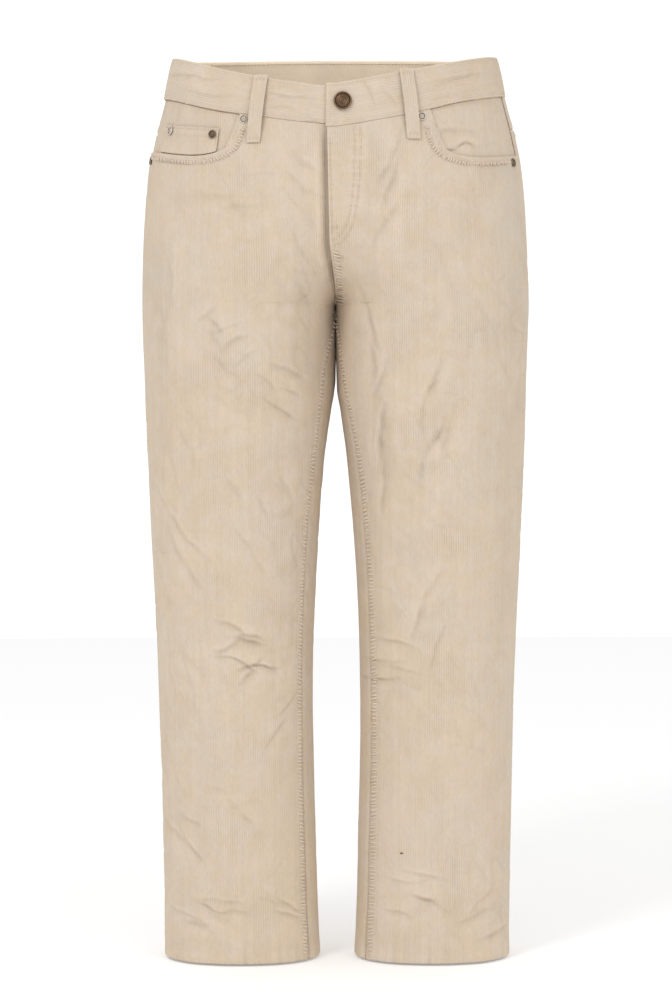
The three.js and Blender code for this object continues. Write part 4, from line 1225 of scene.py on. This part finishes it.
def lathe(name, profile, steps, place, out, material):
    """Turns a profile of radius and height about a normal of the surface."""
    axis = Vector(out).normalized()
    turn = axis.to_track_quat("Z", "Y").to_matrix()
    spin = np.linspace(0, 2 * math.pi, steps, endpoint=False)
    radius, height = np.array(profile).T
    level_rings = np.repeat(height[:, None], steps, 1)
    ring = np.stack([np.outer(radius, np.cos(spin)), np.outer(radius, np.sin(spin)), level_rings], -1)
    points = ring.reshape(-1, 3) @ np.array(turn).T + place
    at = np.arange(len(profile) * steps).reshape(len(profile), steps)
    following = np.roll(at, -1, axis=1)
    faces = np.stack([at[:-1], following[:-1], following[1:], at[1:]], -1).reshape(-1, 4)
    around = np.convolve(np.pad(height, 3, mode="edge"), np.ones(7) / 7, mode="valid")
    return mesh_object(name, points, faces, [material], shade=np.repeat(height - around, steps))


def button_profile():
    """A domed cap: a rounded rim, a groove, and plain rings on a shallow face."""
    radius, thick, reach = BUTTON_RADIUS, BUTTON_THICK, BAND_WALL + 0.9
    profile = [(0.01, 0), (2.6, 0), (2.6, reach), (radius - 0.9, reach - 0.2), (radius - 0.3, reach + 0.2)]
    for turn in np.linspace(-60, 90, 9):
        a = math.radians(turn)
        profile.append((radius - 1 + math.cos(a), reach + thick - 1.3 + 1.1 * math.sin(a)))
    for step in np.linspace(0, 1, 60):
        r = lerp(radius - 1.2, 0.01, step)
        dome = 0.5 * (1 - (r / radius) ** 2)
        ring = 0.16 * math.cos(r * 2 * math.pi / 2.1) * ease(0.3, 1.2, r)
        groove = -0.75 * math.exp(-(((r - radius + 1.9) / 0.4) ** 2))
        profile.append((r, reach + thick - 0.75 + dome + ring + groove))
    return profile


def rivet_profile(is_pale):
    """A rolled rim round a groove, with a small dome in the middle, or a wide flat one on the pale ones."""
    radius = RIVET_RADIUS
    middle, wide, deep = (0.72, 0.17, 0.55) if is_pale else (0.62, 0.09, 0.32)
    dome, foot, top = (0.1, 0.7, 0.5) if is_pale else (RIVET_HEIGHT - 1.35, 0.6, 0.35)
    profile = [(radius - 0.3, -0.4), (radius, 0.1)]
    for turn in np.linspace(0, 90, 6):
        a = math.radians(turn)
        profile.append((radius - 0.7 + 0.7 * math.cos(a), 0.5 + 0.6 * math.sin(a)))
    for r in np.linspace(0.74, 0, 16):
        groove = -deep * math.exp(-(((r - middle) / wide) ** 2))
        profile.append((max(radius * r, 0.01), 0.9 + groove + dome * ease(foot, top, r)))
    return profile


# ---- materials ----


def node(tree, kind, links=None, **settings):
    made = tree.nodes.new("ShaderNode" + kind)
    for key, value in settings.items():
        setattr(made, key, value)
    for socket, source in (links or {}).items():
        if isinstance(source, bpy.types.NodeSocket):
            tree.links.new(source, made.inputs[socket])
        else:
            made.inputs[socket].default_value = source
    return made


def maths(tree, operation, *values):
    return node(tree, "Math", dict(enumerate(values)), operation=operation).outputs[0]


def product(tree, *values):
    return functools.reduce(lambda a, b: maths(tree, "MULTIPLY", a, b), values)


def stretched(tree, u, v, across, along, layer):
    """A place on the cut, scaled apart across and along the wales, for a noise in a layer of its own."""
    scaled = {0: product(tree, u, across), 1: product(tree, v, along), 2: layer}
    return node(tree, "CombineXYZ", scaled).outputs[0]


def shaded(tree, colour, shade):
    grey = node(tree, "CombineXYZ", {0: shade, 1: shade, 2: shade}).outputs[0]
    return blended(tree, "MULTIPLY", 1.0, colour, grey)


def blended(tree, kind, factor, a, b):
    links = {"Factor": factor, 6: a, 7: b}
    return node(tree, "Mix", links, data_type="RGBA", blend_type=kind).outputs[2]


def noise_of(tree, vector, scale, detail=2.0, rough=0.5):
    links = {"Vector": vector, "Scale": scale, "Detail": detail, "Roughness": rough}
    return node(tree, "TexNoise", links).outputs["Fac"]


def between(tree, value, low, high, to_low=0.0, to_high=1.0):
    links = {"Value": value, "From Min": low, "From Max": high, "To Min": to_low, "To Max": to_high}
    return node(tree, "MapRange", links).outputs["Result"]


def linear(*channels):
    """A colour for a shader, from red, green and blue of 0 to 255."""
    shares = [value / 255 for value in channels]
    return (*(v / 12.92 if v <= 0.04045 else ((v + 0.055) / 1.055) ** 2.4 for v in shares), 1)


def effect(name, **inputs):
    """An empty node group with named inputs, which gives a colour, a roughness and a height."""
    tree = bpy.data.node_groups.new(name, "ShaderNodeTree")
    for label, value in inputs.items():
        kind = "NodeSocketColor" if isinstance(value, tuple) else "NodeSocketFloat"
        socket = tree.interface.new_socket(label, in_out="INPUT", socket_type=kind)
        socket.default_value = value
    outputs = {"Color": "NodeSocketColor", "Roughness": "NodeSocketFloat", "Height": "NodeSocketFloat"}
    for label, kind in outputs.items():
        tree.interface.new_socket(label, in_out="OUTPUT", socket_type=kind)
    start, end = tree.nodes.new("NodeGroupInput"), tree.nodes.new("NodeGroupOutput")
    return tree, start.outputs, end.inputs


def corduroy_effect():
    """Ribs along the cut's second axis, nap, wandering tones, painted shade in the grooves between the ribs,
    and painted shade in the creases with a painted highlight on their ridges.
    """
    tones = {"Pink": (0.7, 0.6, 0.5, 1), "Yellow": (0.7, 0.6, 0.45, 1)}
    tree, given, made = effect("corduroy", **tones, Wales=455, Depth=0.3)
    cut = node(tree, "UVMap", uv_map="cut").outputs[0]
    place = node(tree, "TexCoord").outputs["Object"]
    u, v = node(tree, "SeparateXYZ", {0: cut}).outputs[:2]
    sway = product(tree, maths(tree, "SUBTRACT", noise_of(tree, place, 60), 0.5), 0.0009)
    phase = maths(tree, "FRACT", product(tree, maths(tree, "ADD", u, sway), given["Wales"]))
    off = maths(tree, "ABSOLUTE", maths(tree, "SUBTRACT", product(tree, phase, 2), 1))
    rib = maths(tree, "SUBTRACT", 1, maths(tree, "POWER", off, 2.6))

    streak = noise_of(tree, stretched(tree, u, v, 260, 9, 0.37), 1.0, 3.0)
    nap = noise_of(tree, stretched(tree, u, v, 2600, 900, 0.11), 1.0, 2.0)
    fuzz = noise_of(tree, stretched(tree, u, v, 620, 210, 0.73), 1.0, 3.0, 0.7)
    patch = noise_of(tree, place, 11, 4.0, 0.55)
    crushed = noise_of(tree, place, 60, 4.0, 0.6)
    painted_shade_and_wear = node(tree, "Attribute", attribute_name="painted_shade_and_wear").outputs["Fac"]
    strength = between(tree, noise_of(tree, place, 24, 3.0, 0.6), 0.36, 0.62, 0.1, 1.3)
    line = maths(tree, "ABSOLUTE", maths(tree, "SUBTRACT", noise_of(tree, place, 30, 2.0, 0.5), 0.5))
    where = between(tree, noise_of(tree, place, 17, 2.0), 0.45, 0.6)
    crinkle = product(tree, between(tree, line, 0.0, 0.05, 1.0, 0.0), where)

    tint = product(tree, maths(tree, "ADD", patch, noise_of(tree, place, 75, 2.0)), 0.5)
    tone = blended(tree, "MIX", between(tree, tint, 0.42, 0.58), given["Pink"], given["Yellow"])
    # Painted shade: the grooves between the ribs are darker.
    groove = product(tree, maths(tree, "POWER", off, 3), strength)
    shades = [
        (crushed, 0.3, 0.7, 0.985, 1.015),
        (streak, 0.25, 0.75, 0.97, 1.03),
        (nap, 0.2, 0.8, 0.96, 1.04),
        (fuzz, 0.25, 0.75, 0.945, 1.055),
        (crinkle, 0.0, 1.0, 1.0, 0.985),
        (groove, 0.0, 1.0, 1.012, 0.93),
        # Painted shade in the creases, and painted highlight on their ridges and rims.
        (painted_shade_and_wear, -2.4, 0.8, 0.76, 1.06),
    ]
    shade = product(tree, *(between(tree, *row) for row in shades))
    tree.links.new(shaded(tree, tone, shade), made["Color"])
    tree.links.new(between(tree, nap, 0.2, 0.8, 0.86, 0.98), made["Roughness"])
    raised = maths(tree, "ADD", product(tree, rib, strength, given["Depth"]), product(tree, nap, 0.05))
    dents = maths(tree, "SUBTRACT", product(tree, crushed, 0.3), product(tree, crinkle, 0.25))
    tree.links.new(maths(tree, "ADD", raised, dents), made["Height"])
    return tree


def reverse_effect():
    """The flat back of the cloth: a fine twill with faint lines."""
    tree, given, made = effect("corduroy_back", Tone=(0.6, 0.5, 0.4, 1), Threads=1500)
    cut = node(tree, "UVMap", uv_map="cut").outputs[0]
    u, v = node(tree, "SeparateXYZ", {0: cut}).outputs[:2]
    diagonal = product(tree, maths(tree, "ADD", u, product(tree, v, 0.6)), given["Threads"])
    twill = between(tree, maths(tree, "SINE", diagonal), -1.0, 1.0)
    place = node(tree, "TexCoord").outputs["Object"]
    patch = noise_of(tree, place, 30, 3.0)
    shades = between(tree, patch, 0.3, 0.7, 0.93, 1.05), between(tree, twill, 0.0, 1.0, 0.97, 1.02)
    tree.links.new(shaded(tree, given["Tone"], product(tree, *shades)), made["Color"])
    tree.links.new(between(tree, patch, 0.0, 1.0, 0.88, 0.98), made["Roughness"])
    tree.links.new(product(tree, twill, 0.12), made["Height"])
    return tree


def metal_effect():
    """Aged plating: dark in its hollows and patches, brighter where it is rubbed."""
    tones = {"Bright": (0.5, 0.4, 0.3, 1), "Dark": (0.1, 0.06, 0.04, 1)}
    tree, given, made = effect("aged_metal", **tones, Wear=0.5)
    place = node(tree, "TexCoord").outputs["Object"]
    spots = noise_of(tree, place, 900, 4.0, 0.6)
    grain = noise_of(tree, place, 3500, 2.0)
    raised = node(tree, "Attribute", attribute_name="painted_shade_and_wear").outputs["Fac"]
    rubbed = between(tree, raised, -0.12, 0.12)
    patchy = between(tree, spots, 0.3, 0.8, -0.1, 0.2)
    bare = product(tree, maths(tree, "ADD", rubbed, patchy), given["Wear"])
    share = node(tree, "Clamp", {0: bare}).outputs[0]
    tree.links.new(blended(tree, "MIX", share, given["Dark"], given["Bright"]), made["Color"])
    tree.links.new(between(tree, spots, 0.3, 0.7, 0.5, 0.3), made["Roughness"])
    tree.links.new(product(tree, grain, 0.03), made["Height"])
    return tree


def material(name, tree, values, bump=1.0, **shader):
    """A Principled material that takes its colour, roughness and bump from an effect."""
    made = bpy.data.materials.new(name)
    made.use_nodes = True
    nodes = made.node_tree
    principled = nodes.nodes["Principled BSDF"]
    group = node(nodes, "Group", node_tree=tree)
    for label, value in values.items():
        group.inputs[label].default_value = value
    for label, value in shader.items():
        principled.inputs[label.replace("_", " ")].default_value = value
    bumped = node(nodes, "Bump", {"Height": group.outputs["Height"], "Distance": 0.001, "Strength": bump})
    nodes.links.new(group.outputs["Color"], principled.inputs["Base Color"])
    nodes.links.new(group.outputs["Roughness"], principled.inputs["Roughness"])
    nodes.links.new(bumped.outputs["Normal"], principled.inputs["Normal"])
    return made


corduroy_tree, reverse_tree, metal_tree = corduroy_effect(), reverse_effect(), metal_effect()


def fabric(name, tone, specular=0.15, **values):
    """Cloth or thread without wales, in one tone."""
    return material(name, reverse_tree, {"Tone": linear(*tone), **values}, Specular_IOR_Level=specular)


def metal(name, bright, dark, wear, metallic):
    values = {"Bright": linear(*bright), "Dark": linear(*dark), "Wear": wear}
    return material(name, metal_tree, values, Metallic=metallic)


WALED = {"Pink": linear(209, 194, 176), "Yellow": linear(209, 191, 168), "Wales": 455, "Depth": 0.16}
SHEEN = {"Sheen_Weight": 0.08, "Sheen_Roughness": 0.45, "Sheen_Tint": (1, 0.93, 0.86, 1)}
corduroy = material("corduroy", corduroy_tree, WALED, **SHEEN, Specular_IOR_Level=0.15)
reverse = fabric("corduroy_reverse", (205, 186, 163))
# Painted light: the inside of the waistband is the same cloth, in a much paler tone that lifts it out of the
# shade it lies in.
lightened_lining = fabric("band_lining_painted_light", (250, 233, 208), Threads=5200)
# Painted highlight: the puckers' ridges in a paler copy of the cloth's tone.
pucker_highlight_cloth = fabric("pucker_highlight_cloth", (216, 200, 182), Threads=9000)
thread = fabric("thread", (222, 206, 187), 0.3, Threads=9000)
brass = metal("antique_brass", (158, 129, 100), (64, 49, 38), 0.6, 1)
dark_brass = metal("dark_brass", (156, 138, 116), (80, 66, 54), 0.6, 1)
pale = metal("pale_metal", (216, 204, 188), (78, 68, 58), 1.0, 0.25)
lint_brown = fabric("lint", (92, 72, 56), 0.1)

# ---- the trousers ----

PAIRED = {
    "front": front_panel, "back": back_panel, "yoke": yoke,
    "pocket_bearer": pocket_bearer, "back_pocket": back_pocket,
}
both = [corduroy, reverse]
pieces = {}
for side in (-1, 1):
    for kind, sewn_piece in PAIRED.items():
        pieces[f"{kind}_{hand_of(side)}"] = sewn_piece(side, both)
pieces["coin_pocket"] = coin_pocket(both)
pieces["waistband"] = waistband([corduroy, lightened_lining])
for name in LOOPS:
    pieces[name] = belt_loop(name, [corduroy, corduroy])

button_angle = angle_at(BUTTON_Z, BUTTON_X)
button_out = plain_normal(1, button_angle, BUTTON_Z)
button_at = plain(1, button_angle, BUTTON_Z) + button_out * (BAND_PROUD - BAND_WALL)
pieces["button"] = lathe("button_cap", button_profile(), 72, button_at, button_out, brass)
for name, (x, z, off, is_pale) in RIVETS.items():
    side = 1 if x > 0 else -1
    angle = angle_at(z, abs(x))
    out = plain_normal(side, angle, z)
    place = plain(side, angle, z) + out * (off + 0.1)
    plating = pale if is_pale else dark_brass
    pieces[name] = lathe(name + "_cap", rivet_profile(is_pale), 36, place, out, plating)

THREAD_ROWS = {
    "stitches_right": trouser_rows(-1),
    "stitches_left": trouser_rows(1),
    "stitches_fly": fly_stitches() + bartack(-1, -141, 7, 3, 0.4) + bartack(4, -168, 7, 3, 0.3),
    "stitches_band": band_stitches(),
    "stitches_coin": coin_rows(),
}
stitching = {name: stitched(name, rows, thread) for name, rows in THREAD_ROWS.items()}
for side in (-1, 1):
    name = "puckers_" + hand_of(side)
    rows = inseam_rungs(side) + opening_rungs(side) + (centre_rungs() if side > 0 else [])
    stitching[name] = stitched(name, rows, pucker_highlight_cloth, 1, 0, 0.95, whole=True)
speck_z = np.full(len(SPECK_X), float(SPECK_Z))
speck_row = panel_row(1, angle_at(speck_z, np.array(SPECK_X)), speck_z)
speck = stitched("lint", [speck_row], lint_brown, 3.2, 0.4, 0.6)

# ---- metal finishes, and each piece on the root in place of its solid ----

METAL_SLOTS = {name: "pale_metal" if is_pale else "antique_brass" for name, (*_, is_pale) in RIVETS.items()}
METAL_SLOTS["button"] = "antique_brass"
for name, piece in pieces.items():
    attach(piece, "root")
    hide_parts(name)
for piece in [*stitching.values(), speck]:
    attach(piece, "root")

# Each piece's kind, and each belt loop's height.
for name, piece in pieces.items():
    kind = name.rsplit("_", 1)[0]
for name in LOOPS:
    tall = float(loop_place(name, 0, 0.0)[4])

# ---- floor, light and camera ----

FLOOR_Z = -832.0  # just below the hems
FLOOR_SIDE, FLOOR_FRONT, FLOOR_BACK = 2500, -1700, 3000
FLOOR_TONE, FLOOR_GLOW = 0.85, 0.25

floor_material = bpy.data.materials.new("floor")
floor_material.use_nodes = True
floor_shader = floor_material.node_tree.nodes["Principled BSDF"]
floor_shader.inputs["Base Color"].default_value = (FLOOR_TONE, FLOOR_TONE, FLOOR_TONE, 1)
floor_shader.inputs["Roughness"].default_value = 1
floor_shader.inputs["Specular IOR Level"].default_value = 0
floor_shader.inputs["Emission Color"].default_value = (1, 1, 1, 1)
floor_shader.inputs["Emission Strength"].default_value = FLOOR_GLOW
front_edge = [(-FLOOR_SIDE, FLOOR_FRONT, FLOOR_Z), (FLOOR_SIDE, FLOOR_FRONT, FLOOR_Z)]
back_edge = [(FLOOR_SIDE, FLOOR_BACK, FLOOR_Z), (-FLOOR_SIDE, FLOOR_BACK, FLOOR_Z)]
floor_points = np.array(front_edge + back_edge)
floor = mesh_object("floor", floor_points, np.array([(0, 1, 2, 3)]), [floor_material])


def area_light(name, place, target, size, power):
    data = bpy.data.lights.new(name, "AREA")
    data.shape = "DISK"
    data.size = size
    data.energy = power
    lamp = bpy.data.objects.new(name, data)
    lamp.location = place
    lamp.rotation_euler = (Vector(target) - Vector(place)).to_track_quat("-Z", "Y").to_euler()
    bpy.context.collection.objects.link(lamp)


# The lights are in metres: place, the point they face, size and watts.
LIT_POINT = (0, 0, -0.4)
area_light("key", (-1.3, -2.1, 1.9), LIT_POINT, 0.8, 25)
area_light("fill", (1.8, -2.4, 1), LIT_POINT, 1.4, 12)

scene = bpy.context.scene
world = bpy.data.worlds.new("studio")
scene.world = world
world.use_nodes = True
sky = world.node_tree
background = sky.nodes["Background"]
background.inputs["Color"].default_value = (1, 1, 1, 1)
SKY_LIGHT, SKY_SEEN = 0.8, 1.1  # its strength as a light, and as the camera sees it
seen = node(sky, "LightPath").outputs["Is Camera Ray"]
sky.links.new(between(sky, seen, 0.0, 1.0, SKY_LIGHT, SKY_SEEN), background.inputs["Strength"])
scene.view_settings.view_transform = "Standard"
scene.view_settings.look = "None"

# The camera, in metres, millimetres of lens and radians of roll.
CAMERA_AT, CAMERA_TARGET = Vector((0.0004, -2.6, -0.26)), Vector((0, 0, -0.3985))
CAMERA_LENS, CAMERA_SENSOR, CAMERA_REACH, CAMERA_ROLL = 97.93, 36, 50, -0.0028
camera_data = bpy.data.cameras.new("camera")
camera_data.lens = CAMERA_LENS
camera_data.sensor_width = CAMERA_SENSOR
camera_data.clip_end = CAMERA_REACH
camera = bpy.data.objects.new("camera", camera_data)
camera.location = CAMERA_AT
look = CAMERA_TARGET - camera.location
camera.rotation_mode = "QUATERNION"
facing = look.to_track_quat("-Z", "Y")
camera.rotation_quaternion = facing @ Quaternion((0, 0, 1), CAMERA_ROLL)
bpy.context.collection.objects.link(camera)
scene.camera = camera
